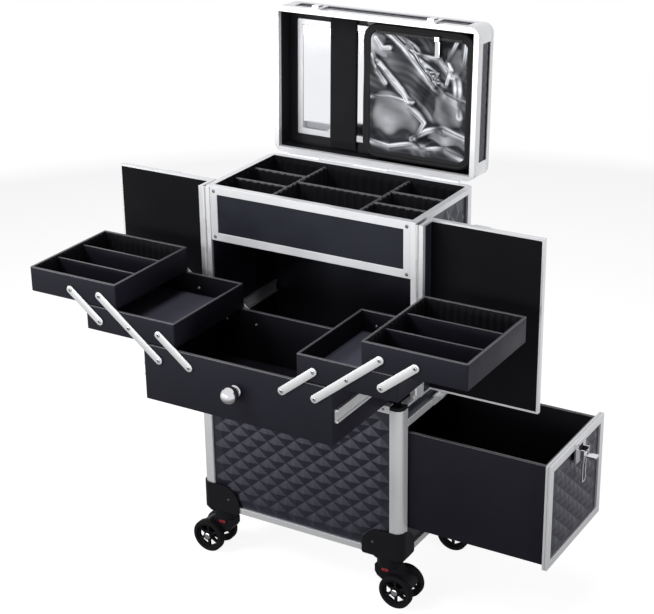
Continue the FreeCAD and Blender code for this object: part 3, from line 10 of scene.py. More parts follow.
import bmesh
import bpy
import numpy as np
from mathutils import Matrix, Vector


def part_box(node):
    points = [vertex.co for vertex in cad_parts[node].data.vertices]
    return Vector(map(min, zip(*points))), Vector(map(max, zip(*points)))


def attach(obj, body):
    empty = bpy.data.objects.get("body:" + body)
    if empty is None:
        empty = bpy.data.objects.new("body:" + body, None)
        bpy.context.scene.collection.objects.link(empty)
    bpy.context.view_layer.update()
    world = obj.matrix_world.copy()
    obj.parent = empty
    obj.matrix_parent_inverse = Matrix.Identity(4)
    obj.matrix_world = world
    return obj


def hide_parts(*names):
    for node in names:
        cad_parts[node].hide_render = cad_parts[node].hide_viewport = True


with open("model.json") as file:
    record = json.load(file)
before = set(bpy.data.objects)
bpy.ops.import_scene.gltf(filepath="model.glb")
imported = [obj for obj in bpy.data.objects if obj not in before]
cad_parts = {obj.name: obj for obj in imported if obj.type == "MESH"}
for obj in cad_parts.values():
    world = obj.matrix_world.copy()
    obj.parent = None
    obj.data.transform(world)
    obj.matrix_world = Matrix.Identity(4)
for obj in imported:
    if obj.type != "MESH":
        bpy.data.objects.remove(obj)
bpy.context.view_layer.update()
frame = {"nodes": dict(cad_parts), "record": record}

LOG = logging.getLogger("train_case")
MM = 0.001
BODY_OF = {node: body for body, nodes in frame["record"]["behaviour"]["bodies"].items() for node in nodes}
Colour = tuple[float, float, float]
Point = tuple[float, float, float]
Pair = tuple[float, float]
Piece = bpy.types.Object
Socket = bpy.types.NodeSocket
Feed = float | list | tuple | Socket
SIDES = ((-1, "left"), (1, "right"))
ENDS = ((-1, "front"), (1, "rear"))

# Merging distances in metres, turns in degrees, other lengths in millimetres; RIB_ROUND is a power
MERGE = 1e-6
NODE_MERGE = 2e-6
FLAT_TURN = 0.6
RELIEF_EDGE = 0.45
RELIEF_ANGLE = 12.0
RIB_SHEET = 0.5
RIB_ROUND = 0.6
BOX_SLACK = 0.1
BOX_RIM = 1.0

# Shares of a unit normal along an axis
FACING = 0.9
LEVEL = 0.7
UPRIGHT = 0.3


class Tree:
    """Short calls for the nodes and links of one node tree."""

    def __init__(self, tree: bpy.types.NodeTree) -> None:
        """Keeps the tree that the calls add to."""
        self.tree = tree

    def add(self, kind: str, values: dict | None = None, **settings: object) -> bpy.types.Node:
        """Adds a node.

        Args:
            kind: the node's type, without its ShaderNode prefix.
            values: a number, or the socket to link, for each input.
            settings: the node's own settings.

        Returns:
            The new node.
        """
        node = self.tree.nodes.new(kind if kind.startswith("NodeGroup") else "ShaderNode" + kind)
        for key, value in settings.items():
            setattr(node, key, value)
        for key, value in (values or {}).items():
            if isinstance(value, Socket):
                self.tree.links.new(value, node.inputs[key])
            else:
                node.inputs[key].default_value = value
        return node

    def math(self, operation: str, first: Feed, second: Feed) -> Socket:
        """Adds an operation on two values and returns its output."""
        return self.add("Math", {0: first, 1: second}, operation=operation).outputs[0]

    def mix(self, share: Feed, first: Feed, second: Feed) -> Socket:
        """Adds a colour mix and returns its output."""
        return self.add("Mix", {0: share, 6: first, 7: second}, data_type="RGBA").outputs[2]

    def noise(self, scale: Feed, detail: float, distortion: float = 0.0) -> Socket:
        """Adds a noise over the object's own coordinates and returns it."""
        place = self.add("TexCoord").outputs["Object"]
        values = {"Vector": place, "Scale": scale, "Detail": detail, "Distortion": distortion}
        return self.add("TexNoise", values).outputs[0]

    def ramp(self, value: Feed, low: float, high: float, to_low: float, to_high: float) -> Socket:
        """Carries a value from one range to another, clamped, and returns it."""
        spans = {"Value": value, "From Min": low, "From Max": high, "To Min": to_low, "To Max": to_high}
        return self.add("MapRange", spans).outputs[0]


def blank_material(name: str) -> tuple[bpy.types.Material, Tree]:
    """Makes a material with an empty node tree, and returns both."""
    material = bpy.data.materials.new(name)
    material.use_nodes = True
    material.node_tree.nodes.clear()
    return material, Tree(material.node_tree)


def effect_group(name: str, inputs: dict[str, float], outputs: tuple[str, ...]
                 ) -> tuple[bpy.types.NodeTree, Tree, bpy.types.Node, bpy.types.Node]:
    """Starts a shared effect with named sockets.

    Args:
        name: the group's name.
        inputs: each input's name and usual value.
        outputs: the names of the values that it puts out.

    Returns:
        The group, its tree, the node of its inputs and the node of its outputs.
    """
    group = bpy.data.node_groups.new(name, "ShaderNodeTree")
    for key, value in inputs.items():
        socket = group.interface.new_socket(name=key, in_out="INPUT", socket_type="NodeSocketFloat")
        socket.default_value = value
    for key in outputs:
        group.interface.new_socket(name=key, in_out="OUTPUT", socket_type="NodeSocketFloat")
    tree = Tree(group)
    return group, tree, tree.add("NodeGroupInput"), tree.add("NodeGroupOutput")


class Pattern(Enum):
    """The fine surface pattern of a finish."""

    GRAIN = "vinyl grain"
    MOULDED = "moulded texture"
    SATIN = "satin metal"
    WEAVE = "webbing weave"


class Effects:
    """The shared effects, each made once. Scales are in cells to the metre."""

    mottle_scale: float = 17.0
    patch_scale: float = 60.0
    cell_share: float = 0.8
    noise_share: float = 0.4
    weave_share: float = 0.32
    edge_turn_span: Pair = (0.995, 0.8)
    patch_span: Pair = (0.3, 0.6)
    least_patch: float = 0.35
    smudge_span: Pair = (0.3, 0.7)

    @classmethod
    @cache
    def pattern(cls, pattern: Pattern) -> bpy.types.NodeTree:
        """Gives the group of a surface pattern, with a height and a mottle."""
        group, tree, given, out = effect_group(pattern.value, {"Cell": 1.0}, ("Height", "Mottle"))
        place = tree.add("TexCoord").outputs["Object"]
        scale = tree.math("DIVIDE", 1 / MM, given.outputs["Cell"])
        if pattern is Pattern.WEAVE:
            wide = {"Vector": place, "Scale": tree.math("MULTIPLY", scale, cls.weave_share)}
            waves = [tree.add("TexWave", wide, bands_direction=axis).outputs["Fac"] for axis in "XZ"]
            fine = tree.math("MAXIMUM", *waves)
        else:
            fine = tree.noise(scale, 3.0)
        if pattern is Pattern.GRAIN:
            cells = tree.add("TexVoronoi", {"Vector": place, "Scale": scale}, feature="SMOOTH_F1")
            far = tree.math("MULTIPLY", cells.outputs["Distance"], cls.cell_share)
            fine = tree.math("ADD", far, tree.math("MULTIPLY", fine, cls.noise_share))
        tree.tree.links.new(fine, out.inputs["Height"])
        tree.tree.links.new(tree.noise(cls.mottle_scale, 4.0), out.inputs["Mottle"])
        return group

    @classmethod
    @cache
    def edge_wear_and_highlight(cls) -> bpy.types.NodeTree:
        """Gives the group that marks edges, where a rounded normal leaves the true one: partly rubbed wear,
        partly a painted highlight.
        """
        group, tree, given, out = effect_group("edge wear", {"Width": 0.8, "Amount": 1.0}, ("Mask",))
        radius = tree.math("MULTIPLY", given.outputs["Width"], MM)
        rounded = tree.add("Bevel", {"Radius": radius}, samples=6).outputs[0]
        normal = tree.add("NewGeometry").outputs["Normal"]
        turn = tree.add("VectorMath", {0: rounded, 1: normal}, operation="DOT_PRODUCT").outputs["Value"]
        edge = tree.ramp(turn, *cls.edge_turn_span, 0.0, 1.0)
        patches = tree.ramp(tree.noise(cls.patch_scale, 3.0), *cls.patch_span, cls.least_patch, 1.0)
        worn_and_lit = tree.math("MULTIPLY", tree.math("MULTIPLY", edge, patches), given.outputs["Amount"])
        tree.tree.links.new(worn_and_lit, out.inputs["Mask"])
        return group

    @classmethod
    @cache
    def handling(cls) -> bpy.types.NodeTree:
        """Gives the group of faint smudges that handling leaves in a gloss."""
        group, tree, given, out = effect_group("handling", {"Spread": 22.0}, ("Smudge",))
        cloud = tree.noise(given.outputs["Spread"], 6.0, distortion=0.6)
        tree.tree.links.new(tree.ramp(cloud, *cls.smudge_span, 0.0, 1.0), out.inputs["Smudge"])
        return group


@dataclass(frozen=True)
class Finish:
    """One surface finish. Cell and depth, in millimetres, are the size and height of its pattern."""

    name: str
    slot: str
    colour: Colour
    roughness: float
    pattern: Pattern
    metallic: float = 0.0
    specular: float = 0.5
    gloss_tint: Colour = (1.0, 1.0, 1.0)
    cell: float = 0.8
    depth: float = 0.04
    mottle: float = 0.15
    smudge: float = 0.06
    wear_and_highlight: float = 0.0
    wear_and_highlight_colour: Colour = (0.2, 0.2, 0.21)

    @cache
    def material(self) -> bpy.types.Material:
        """Makes the finish's material on its first use, and returns it."""
        material, tree = blank_material(self.name)
        pattern = tree.add("Group", node_tree=Effects.pattern(self.pattern))
        pattern.inputs["Cell"].default_value = self.cell
        dark = [channel * (1 - self.mottle) for channel in self.colour] + [1]
        light = [min(1.0, channel * (1 + self.mottle)) for channel in self.colour] + [1]
        colour = tree.mix(pattern.outputs["Mottle"], dark, light)
        # Lighter edges: partly edge wear, partly a painted highlight where edges and relief ridges catch
        # light.
        if self.wear_and_highlight:
            worn_and_lit = tree.add("Group", node_tree=Effects.edge_wear_and_highlight())
            worn_and_lit.inputs["Amount"].default_value = self.wear_and_highlight
            colour = tree.mix(worn_and_lit.outputs["Mask"], colour, [*self.wear_and_highlight_colour, 1])
        handled = tree.add("Group", node_tree=Effects.handling())
        rough = tree.ramp(handled.outputs["Smudge"], 0, 1, max(0.0, self.roughness - self.smudge),
                          self.roughness + self.smudge)
        shader = tree.add("BsdfPrincipled", {
            "Base Color": colour, "Roughness": rough, "Metallic": self.metallic,
            "Specular IOR Level": self.specular, "Specular Tint": [*self.gloss_tint, 1]})
        if self.depth:
            bump = tree.add("Bump", {"Height": pattern.outputs["Height"], "Distance": self.depth * MM})
            tree.tree.links.new(bump.outputs[0], shader.inputs["Normal"])
        tree.add("OutputMaterial", {"Surface": shader.outputs[0]})
        return material


@dataclass(frozen=True)
class ClearFilm:
    """Clear soft film, with a mask of painted highlights and painted sheen along its folds that stands in for
    their reflections. Cell and depth are in millimetres.
    """

    name: str = "clear_film"
    slot: str = "bag"
    clear: Colour = (0.012, 0.013, 0.017)
    # white is the colour of the painted highlights and painted sheen.
    white: Colour = (0.86, 0.88, 0.93)
    mirrored: float = 0.15
    least_highlight_share: float = 0.8
    roughness: Pair = (0.29, 0.38)
    specular: float = 0.12
    spread: float = 40.0
    cell: float = 9.0
    depth: float = 0.12

    @cache
    def material(self) -> bpy.types.Material:
        """Makes the film's material on its first use, and returns it."""
        material, tree = blank_material(self.name)
        # The mask read here is painted highlight and painted sheen, standing in for reflections on the folds.
        film_highlight_mask = tree.add("Attribute", attribute_name="film_highlight_mask").outputs["Fac"]
        handled = tree.add("Group", node_tree=Effects.handling())
        handled.inputs["Spread"].default_value = self.spread
        highlight_share = tree.math("MULTIPLY", film_highlight_mask, tree.ramp(handled.outputs["Smudge"], 0, 1, self.least_highlight_share, 1.0))
        colour = tree.mix(highlight_share, [*self.clear, 1], [*self.white, 1])
        rough = tree.ramp(handled.outputs["Smudge"], 0, 1, *self.roughness)
        # Metallic follows the painted highlight mask, so those places mirror what is around as well.
        bright = tree.math("MULTIPLY", highlight_share, self.mirrored)
        fine = tree.add("Group", node_tree=Effects.pattern(Pattern.MOULDED))
        fine.inputs["Cell"].default_value = self.cell
        bump = tree.add("Bump", {"Height": fine.outputs["Height"], "Distance": self.depth * MM})
        shader = tree.add("BsdfPrincipled", {
            "Base Color": colour, "Roughness": rough, "Metallic": bright, "Specular IOR Level": self.specular,
            "Normal": bump.outputs[0]})
        tree.add("OutputMaterial", {"Surface": shader.outputs[0]})
        return material


# BOARD, EMBOSSED and PLASTIC take lighter edges that are partly wear and partly a painted highlight; on
# EMBOSSED they light the pyramid ridges.
BOARD = Finish("black_vinyl_board", "board", (0.0125, 0.0122, 0.018), 0.45, Pattern.GRAIN, specular=0.1,
    gloss_tint=(0.88, 0.88, 1.0), cell=0.9, depth=0.05, wear_and_highlight=0.4, wear_and_highlight_colour=(0.07, 0.07, 0.08))
# The darker inner walls and floors of boxes are painted shade.
SHADED_INNER_BOARD = Finish("inner_board_painted_shade", "board", (0.007, 0.007, 0.0095), 0.55, Pattern.GRAIN,
    specular=0.06, cell=0.9, depth=0.05)
FLOOR_BOARD = Finish("grey_tray_floor", "board", (0.056, 0.055, 0.075), 0.55, Pattern.GRAIN,
    specular=0.08, cell=1.1, depth=0.06)
# The rim band is glossier vinyl, and its lighter colour is a painted highlight on the tops of the walls.
LIT_RIM_BAND = Finish("rim_band_painted_highlight", "board", (0.06, 0.06, 0.068), 0.34, Pattern.GRAIN, specular=0.6,
    cell=0.7, depth=0.03)
LINING = Finish("ribbed_black_lining", "board", (0.009, 0.009, 0.011), 0.48, Pattern.GRAIN, specular=0.16,
    cell=0.6, depth=0.05)
# The lighter top of each top-box divider is a painted highlight.
DIVIDER_TOP_HIGHLIGHT = Finish("divider_top_painted_highlight", "board", (0.06, 0.06, 0.066), 0.36, Pattern.GRAIN,
    specular=0.7, cell=0.6, depth=0.04)
DOOR_LINING = Finish("door_lining", "board", (0.0055, 0.0055, 0.007), 0.6, Pattern.GRAIN, specular=0.05,
    cell=0.9, depth=0.05)
SMOOTH_BOARD = Finish("smooth_black_board", "board", (0.0085, 0.009, 0.015), 0.35, Pattern.MOULDED,
    specular=0.25, gloss_tint=(0.85, 0.9, 1.0), cell=1.4, depth=0.0)
EMBOSSED = Finish("embossed_black_sheet", "embossed", (0.012, 0.012, 0.019), 0.34, Pattern.GRAIN,
    specular=0.55, gloss_tint=(0.84, 0.86, 1.0), cell=0.45, depth=0.008, wear_and_highlight=0.3,
    wear_and_highlight_colour=(0.09, 0.09, 0.11))
ALUMINIUM = Finish("satin_aluminium", "aluminium", (0.7, 0.705, 0.725), 0.34, Pattern.SATIN, metallic=0.5,
    cell=6.0, depth=0.0, mottle=0.03, smudge=0.04)
POLISHED = Finish("polished_aluminium", "aluminium", (0.66, 0.665, 0.685), 0.14, Pattern.SATIN,
    metallic=0.95, cell=6.0, depth=0.0, mottle=0.03)
STEEL = Finish("zinc_plated_steel", "steel", (0.76, 0.765, 0.78), 0.34, Pattern.SATIN, metallic=0.45,
    cell=5.0, depth=0.0, mottle=0.05)
ARM_STEEL = Finish("bright_arm_steel", "steel", (0.6, 0.605, 0.615), 0.4, Pattern.SATIN, metallic=0.65,
    cell=5.0, depth=0.0, mottle=0.03)
DARK_STEEL = Finish("dark_rivet_steel", "steel", (0.2, 0.2, 0.21), 0.36, Pattern.SATIN, metallic=1.0,
    cell=0.4, depth=0.0)
RIVET = Finish("grey_rivet_steel", "steel", (0.42, 0.42, 0.44), 0.35, Pattern.SATIN, metallic=1.0,
    cell=0.4, depth=0.0)
# A dark plug in each rivet's hollow: painted shade of the hole.
HOLE_SHADE = Finish("rivet_hole_painted_shade", "steel", (0.02, 0.02, 0.02), 0.5, Pattern.SATIN, specular=0.2, cell=0.4)
CHROME = Finish("bright_chrome", "chrome", (0.7, 0.7, 0.72), 0.07, Pattern.SATIN, metallic=1.0, cell=5.0,
    depth=0.0, mottle=0.02, smudge=0.03)
PLASTIC = Finish("moulded_black_plastic", "black_plastic", (0.009, 0.009, 0.0105), 0.42, Pattern.MOULDED,
    specular=0.1, cell=0.5, depth=0.02, wear_and_highlight=0.3, wear_and_highlight_colour=(0.03, 0.03, 0.033))
RUBBER = Finish("black_tyre_rubber", "tyre", (0.006, 0.006, 0.007), 0.6, Pattern.MOULDED, specular=0.08,
    cell=0.7, depth=0.03)
MIRROR_FRAME = Finish("pale_mirror_frame", "mirror_frame", (0.5, 0.505, 0.525), 0.36, Pattern.MOULDED,
    metallic=0.7, cell=4.0, depth=0.0, mottle=0.03)
MIRROR = Finish("silvered_glass", "mirror", (0.86, 0.87, 0.9), 0.06, Pattern.SATIN, metallic=1.0,
    cell=30.0, depth=0.0, mottle=0.01, smudge=0.015)
WEBBING = Finish("black_webbing", "strap", (0.013, 0.013, 0.015), 0.75, Pattern.WEAVE, specular=0.15,
    cell=1.1, depth=0.25)
BINDING = Finish("black_bag_binding", "bag", (0.009, 0.009, 0.01), 0.55, Pattern.WEAVE, specular=0.2,
    cell=0.9, depth=0.12)
ZIP_TEETH = Finish("dark_zip_teeth", "bag", (0.03, 0.03, 0.033), 0.35, Pattern.MOULDED, cell=0.5,
    depth=0.01)
GREY_TAB = Finish("grey_tab", "bag", (0.16, 0.16, 0.17), 0.5, Pattern.MOULDED, cell=0.6, depth=0.02)
RED = Finish("red_button", "black_plastic", (0.24, 0.012, 0.018), 0.4, Pattern.MOULDED, cell=0.6,
    depth=0.02)
FILM = ClearFilm()


def grid_faces(rows: int, columns: int, round_rows: bool, round_columns: bool) -> np.ndarray:
    """Gives the quads of a grid: face (i, j) joins the points i and i + 1 of columns j and j + 1.

    Args:
        rows: how many rows of points there are.
        columns: how many points a row has.
        round_rows: whether the last row joins the first.
        round_columns: whether each row's end joins its start.

    Returns:
        Four point numbers for each face.
    """
    down, along = np.arange(rows - (not round_rows)), np.arange(columns - (not round_columns))
    i, j = np.meshgrid(down, along, indexing="ij")
    below, beside = (i + 1) % rows, (j + 1) % columns
    corners = [i * columns + j, below * columns + j, below * columns + beside, i * columns + beside]
    return np.stack(corners, -1).reshape(-1, 4)


def surface(name: str, points: np.ndarray, round_rows: bool = False, round_columns: bool = False,
            copies: bool = False) -> Piece:
    """Makes a mesh object of one grid of points, or of many grids alike.

    Points that meet, as at a pole, are merged, and closed shapes face outwards.

    Args:
        name: the piece's name.
        points: rows by columns by three, in millimetres, with the copies first where there are many.
        round_rows: whether the last row joins the first.
        round_columns: whether each row's end joins its start.
        copies: whether the first axis counts copies.

    Returns:
        The new object, at the origin.
    """
    stack = points if copies else points[None]
    count, rows, columns, _ = stack.shape
    faces = grid_faces(rows, columns, round_rows, round_columns)
    faces = (faces[None] + np.arange(count)[:, None, None] * rows * columns).reshape(-1, 4)
    mesh = bpy.data.meshes.new(name)
    mesh.from_pydata((stack.reshape(-1, 3) * MM).tolist(), [], faces.tolist())
    work = bmesh.new()
    work.from_mesh(mesh)
    bmesh.ops.remove_doubles(work, verts=work.verts, dist=MERGE)
    bmesh.ops.recalc_face_normals(work, faces=work.faces)
    work.to_mesh(mesh)
    work.free()
    piece = bpy.data.objects.new(name, mesh)
    bpy.context.scene.collection.objects.link(piece)
    smooth(piece)
    return piece


def smooth(piece: Piece, angle: float = 38.0) -> None:
    """Shades a piece smooth, but sharp where it turns by more than an angle in degrees."""
    piece.data.shade_smooth()
    piece.data.set_sharp_from_angle(angle=math.radians(angle))


def thickened(piece: Piece, name: str, wall: float) -> None:
    """Gives a sheet a wall in millimetres, half of it to either side."""
    solid = piece.modifiers.new(name, "SOLIDIFY")
    solid.thickness = wall * MM
    solid.offset = 0


def node_box(node: str) -> tuple[np.ndarray, np.ndarray]:
    """Gives the lowest and the highest corner of a node in millimetres."""
    low, high = (np.array(corner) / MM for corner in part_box(node))
    return low, high


def thirds(low: float, high: float) -> list[float]:
    """Gives the two places that part a span in three."""
    return [low + (high - low) * share for share in (1 / 3, 2 / 3)]


def eased(share: np.ndarray) -> np.ndarray:
    """Gives a smooth step from 0 to 1: three times the square of a share less twice its cube."""
    share = np.clip(share, 0, 1)
    return share * share * (3 - 2 * share)


def bevelled(piece: Piece, width: float, angle: float, segments: int) -> Piece:
    """Rounds a piece's edges by a width in millimetres, and returns the piece."""
    edge = piece.modifiers.new("rounded_edges", "BEVEL")
    edge.width = width * MM
    edge.segments = segments
    edge.limit_method = "ANGLE"
    edge.angle_limit = math.radians(angle)
    edge.harden_normals = True
    edge.use_clamp_overlap = True
    return piece


def fitted(piece: Piece, body: str, finish: Finish | ClearFilm, *nodes: str) -> Piece:
    """Finishes a piece, rides it on its body and lets it stand for nodes of the model.

    Args:
        piece: the piece.
        body: the body it moves with.
        finish: its finish.
        nodes: the nodes that it replaces.

    Returns:
        The piece.
    """
    if not piece.data.materials:
        piece.data.materials.append(finish.material())
    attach(piece, body)
    if nodes:
        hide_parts(*nodes)
    LOG.info("%s on %s", piece.name, body)
    return piece


def formed(name: str, points: np.ndarray, body: str, finish: Finish, *nodes: str, **closed: bool) -> Piece:
    """Makes a surface, closed as its own arguments say, fits it to its body and returns it."""
    return fitted(surface(name, points, **closed), body, finish, *nodes)


def dressed(node: str, finish: Finish, round_off: float = 0.6, angle: float = 32.0, segments: int = 2,
            left_out: Callable[[np.ndarray], np.ndarray] | None = None) -> Piece:
    """Dresses a rigid node: a merged copy with rounded edges stands for it.

    Args:
        node: the node's name.
        finish: its finish.
        round_off: the width of its rounded edges in millimetres.
        angle: the least turn of an edge that is rounded, in degrees.
        segments: how many faces a rounded edge has.
        left_out: marks the points, in millimetres, of a part that another piece stands for.

    Returns:
        The new piece.
    """
    mesh = frame["nodes"][node].data.copy()
    mesh.name = node + "_dressed"
    mesh.materials.clear()
    work = bmesh.new()
    work.from_mesh(mesh)
    bmesh.ops.remove_doubles(work, verts=work.verts, dist=NODE_MERGE)
    if left_out:
        marks = left_out(np.array([vert.co[:] for vert in work.verts]) / MM)
        dropped = [vert for vert, mark in zip(work.verts, marks) if mark]
        bmesh.ops.delete(work, geom=dropped, context="VERTS")
    turn = math.radians(FLAT_TURN)
    bmesh.ops.dissolve_limit(work, angle_limit=turn, verts=work.verts, edges=work.edges)
    work.to_mesh(mesh)
    work.free()
    piece = bpy.data.objects.new(node + "_dressed", mesh)
    bpy.context.scene.collection.objects.link(piece)
    smooth(piece, angle)
    return fitted(bevelled(piece, round_off, angle, segments), BODY_OF[node], finish, node)


def embossed(node: str, left_out: Callable[[np.ndarray], np.ndarray] | None = None) -> Piece:
    """Dresses an embossed board with crisp edges on its pyramids, and returns the piece."""
    return dressed(node, EMBOSSED, RELIEF_EDGE, RELIEF_ANGLE, left_out=left_out)


def turned(profile: list[Pair], steps: int = 24) -> np.ndarray:
    """Turns a profile of radius and height about the Z axis: x = r cos t, y = r sin t, z = h.

    Args:
        profile: pairs of radius and height, in millimetres.
        steps: how many places round the axis.

    Returns:
        Points, one row for each place round the axis.
    """
    radius, height = np.array(profile, float).T
    angle = np.linspace(0, 2 * math.pi, steps, endpoint=False)[:, None]
    return np.stack([radius * np.cos(angle), radius * np.sin(angle), height + 0 * angle], -1)


def aimed(points: np.ndarray, direction: Point, places: list[Point]) -> np.ndarray:
    """Turns points from +Z to a direction and sets a copy at each place.

    Args:
        points: rows by columns by three.
        direction: where +Z goes.
        places: where each copy's origin goes.

    Returns:
        Copies by rows by columns by three.
    """
    up = np.array(direction, float)
    up /= np.linalg.norm(up)
    side = np.cross([0.0, 1.0, 0.0] if abs(up[1]) < FACING else [1.0, 0.0, 0.0], up)
    side /= np.linalg.norm(side)
    basis = np.stack([side, np.cross(up, side), up])
    return points[None] @ basis + np.array(places, float)[:, None, None, :]


def outline(half_x: np.ndarray, half_y: np.ndarray, radius: np.ndarray, per_corner: int = 6) -> np.ndarray:
    """Gives rounded rectangles: each corner is an arc about a centre one radius in from both sides.

    Args:
        half_x: half the width of each rectangle.
        half_y: half the depth of each rectangle.
        radius: the corner radius of each rectangle.
        per_corner: how many points an arc has.

    Returns:
        Rectangles by points by two.
    """
    given = (half_x, half_y, radius)
    half_x, half_y, radius = (np.atleast_1d(value)[:, None].astype(float) for value in given)
    quarter = np.linspace(0, math.pi / 2, per_corner)
    angle = np.concatenate([quarter + math.pi / 2 * corner for corner in range(4)])[None]
    sign_x = np.repeat([1, -1, -1, 1], per_corner)[None]
    sign_y = np.repeat([1, 1, -1, -1], per_corner)[None]
    x = sign_x * (half_x - radius) + radius * np.cos(angle)
    y = sign_y * (half_y - radius) + radius * np.sin(angle)
    return np.stack([x, y], -1)


def raised(rings: np.ndarray, levels: np.ndarray) -> np.ndarray:
    """Gives each flat ring its own height, and returns rings by points by three."""
    return np.concatenate([rings, np.broadcast_to(levels[:, None, None], rings.shape[:2] + (1,))], -1)


def carried(low: np.ndarray, high: np.ndarray, inset: np.ndarray, rise: np.ndarray, corner: float,
            per_corner: int = 6) -> np.ndarray:
    """Carries a profile of insets and heights round the rounded rectangle between two corners."""
    half = (high - low) / 2
    ring = outline(half[0] - inset, half[1] - inset, np.maximum(corner - inset, 0.0), per_corner)
    return raised(ring + (low + high)[:2] / 2, rise)


def box_skin(low: Point, high: Point, wall: float, corner: float = 2.0, edge: float = 1.2) -> np.ndarray:
    """Gives an open box as one skin: a wall profile carried round a rounded rectangle.

    The profile runs from the middle of the base, out, up the outer face, over the rounded rim, down
    the inner face and in to the middle of the floor. Each of its points has an inset and a height.

    Args:
        low: the lowest corner in millimetres.
        high: the highest corner.
        wall: how thick the walls and floor are.
        corner: the radius of the upright corners.
        edge: the radius of the rounded edges.

    Returns:
        Profile points by points round the rectangle by three.
    """
    low, high = np.array(low, float), np.array(high, float)
    deep = min((high - low)[:2]) / 2
    arc = np.linspace(0, math.pi / 2, 4)
    inset = np.concatenate([[deep], edge - edge * np.sin(arc), edge - edge * np.cos(arc),
                            wall - edge + edge * np.sin(arc), [wall], [wall + edge], [deep]])
    rise = np.concatenate([[low[2]], low[2] + edge - edge * np.cos(arc), high[2] - edge + edge * np.sin(arc),
                           high[2] - edge + edge * np.cos(arc), [low[2] + wall + edge], [low[2] + wall],
                           [low[2] + wall]])
    return carried(low, high, inset, rise, corner)


def slab(low: Point, high: Point, edge: float, corner: float = 0.0, per_corner: int = 6) -> np.ndarray:
    """Gives a closed block with rounded edges: rounded rectangles drawn in towards both ends.

    Args:
        low: the lowest corner in millimetres.
        high: the highest corner.
        edge: the radius of the edges round both ends.
        corner: the radius of the upright corners, no less than the edge's.
        per_corner: how many points an upright corner has.

    Returns:
        Profile points by points round the rectangle by three.
    """
    low, high = np.array(low, float), np.array(high, float)
    deep = min((high - low)[:2]) / 2
    arc = np.linspace(0, math.pi / 2, 4)
    inset = np.concatenate([[deep], edge - edge * np.sin(arc), edge - edge * np.cos(arc), [deep]])
    rise = np.concatenate([[low[2]], low[2] + edge - edge * np.cos(arc), high[2] - edge + edge * np.sin(arc),
                           [high[2]]])
    return carried(low, high, inset, rise, max(corner, edge), per_corner)


def rib_line(start: np.ndarray, end: np.ndarray, pitch: float) -> tuple[np.ndarray, np.ndarray]:
    """Gives points along a line, and at each the ribs' raised cosine, 0 between ribs and 1 on them."""
    run = np.linalg.norm(end - start)
    place = np.linspace(0, run, int(run / pitch) * 8 + 1)
    return start + np.outer(place / run, end - start), 0.5 - 0.5 * np.cos(2 * math.pi * place / pitch)


def ribbed_wall(start: Point, end: Point, inward: Pair, top: float, pitch: float,
                depth: float) -> np.ndarray:
    """Gives a ribbed sheet along a wall: its depth over the wall is a raised cosine of the place along it.

    Args:
        start: the foot of one end in millimetres.
        end: the foot of the other end.
        inward: the direction away from the wall.
        top: the height of its upper edge.
        pitch: the distance between ribs.
        depth: how far the ribs stand off the wall.

    Returns:
        Four edges by places along the wall by three.
    """
    line, wave = rib_line(np.array(start, float), np.array(end, float), pitch)
    face = line + (RIB_SHEET + depth * wave ** RIB_ROUND)[:, None] * np.array([*inward, 0.0])
    lift = np.array([0.0, 0.0, top - start[2]])
    return np.stack([line, face, face + lift, line + lift])


def ribbed_board(start: Pair, end: Pair, levels: Pair, wall: float, pitch: float, depth: float) -> np.ndarray:
    """Gives an upright board with ribs on both faces and a round top.

    Half its thickness is a raised cosine of the place along it, and its top is a half circle of that radius.

    Args:
        start: the x and y of one end in millimetres.
        end: the x and y of the other end.
        levels: the heights of its foot and top.
        wall: its thickness between the ribs.
        pitch: the distance between ribs.
        depth: how far the ribs stand out.

    Returns:
        Profile points by places along the board by three.
    """
    start, end = np.array(start, float), np.array(end, float)
    line, wave = rib_line(start, end, pitch)
    half = wall / 2 + depth * wave ** 2
    along = (end - start) / np.linalg.norm(end - start)
    across = np.array([-along[1], along[0]])
    arc = np.linspace(-math.pi / 2, math.pi / 2, 7)
    side = np.concatenate([[-1], np.sin(arc), [1]])[:, None] * half
    dome = levels[1] - half + np.cos(arc)[:, None] * half
    foot = np.full((1, len(line)), levels[0])
    flat = line + side[..., None] * across
    return np.concatenate([flat, np.concatenate([foot, dome, foot])[..., None]], -1)


def flat_bar(start: Pair, end: Pair, width: float, span: Pair, edge: float = 0.5) -> np.ndarray:
    """Gives a flat bar with round ends: a stadium carried through its thickness, drawn in at both faces.

    Args:
        start: the x and z of one end's centre in millimetres.
        end: the x and z of the other end's centre.
        width: how wide the bar is.
        span: the y of both faces.
        edge: the radius of its edges.

    Returns:
        Profile points by points round the bar by three.
    """
    start, end = np.array(start, float), np.array(end, float)
    length = np.linalg.norm(end - start)
    half = width / 2
    inset = np.array([half, edge, edge * 0.3, 0, 0, edge * 0.3, edge, half])
    share = np.array([0, 0, edge * 0.3, edge, -edge, -edge * 0.3, 0, 0])
    depth = np.where(np.arange(8) < 4, span[0] + share, span[1] + share)
    ring = outline(length / 2 + half - inset, half - inset, half - inset, 8)
    along = (end - start) / length
    across = np.array([-along[1], along[0]])
    flat = (start + end) / 2 + ring[..., :1] * along + ring[..., 1:] * across
    depth = np.broadcast_to(depth[:, None], ring.shape[:2])
    return np.stack([flat[..., 0], depth, flat[..., 1]], -1)


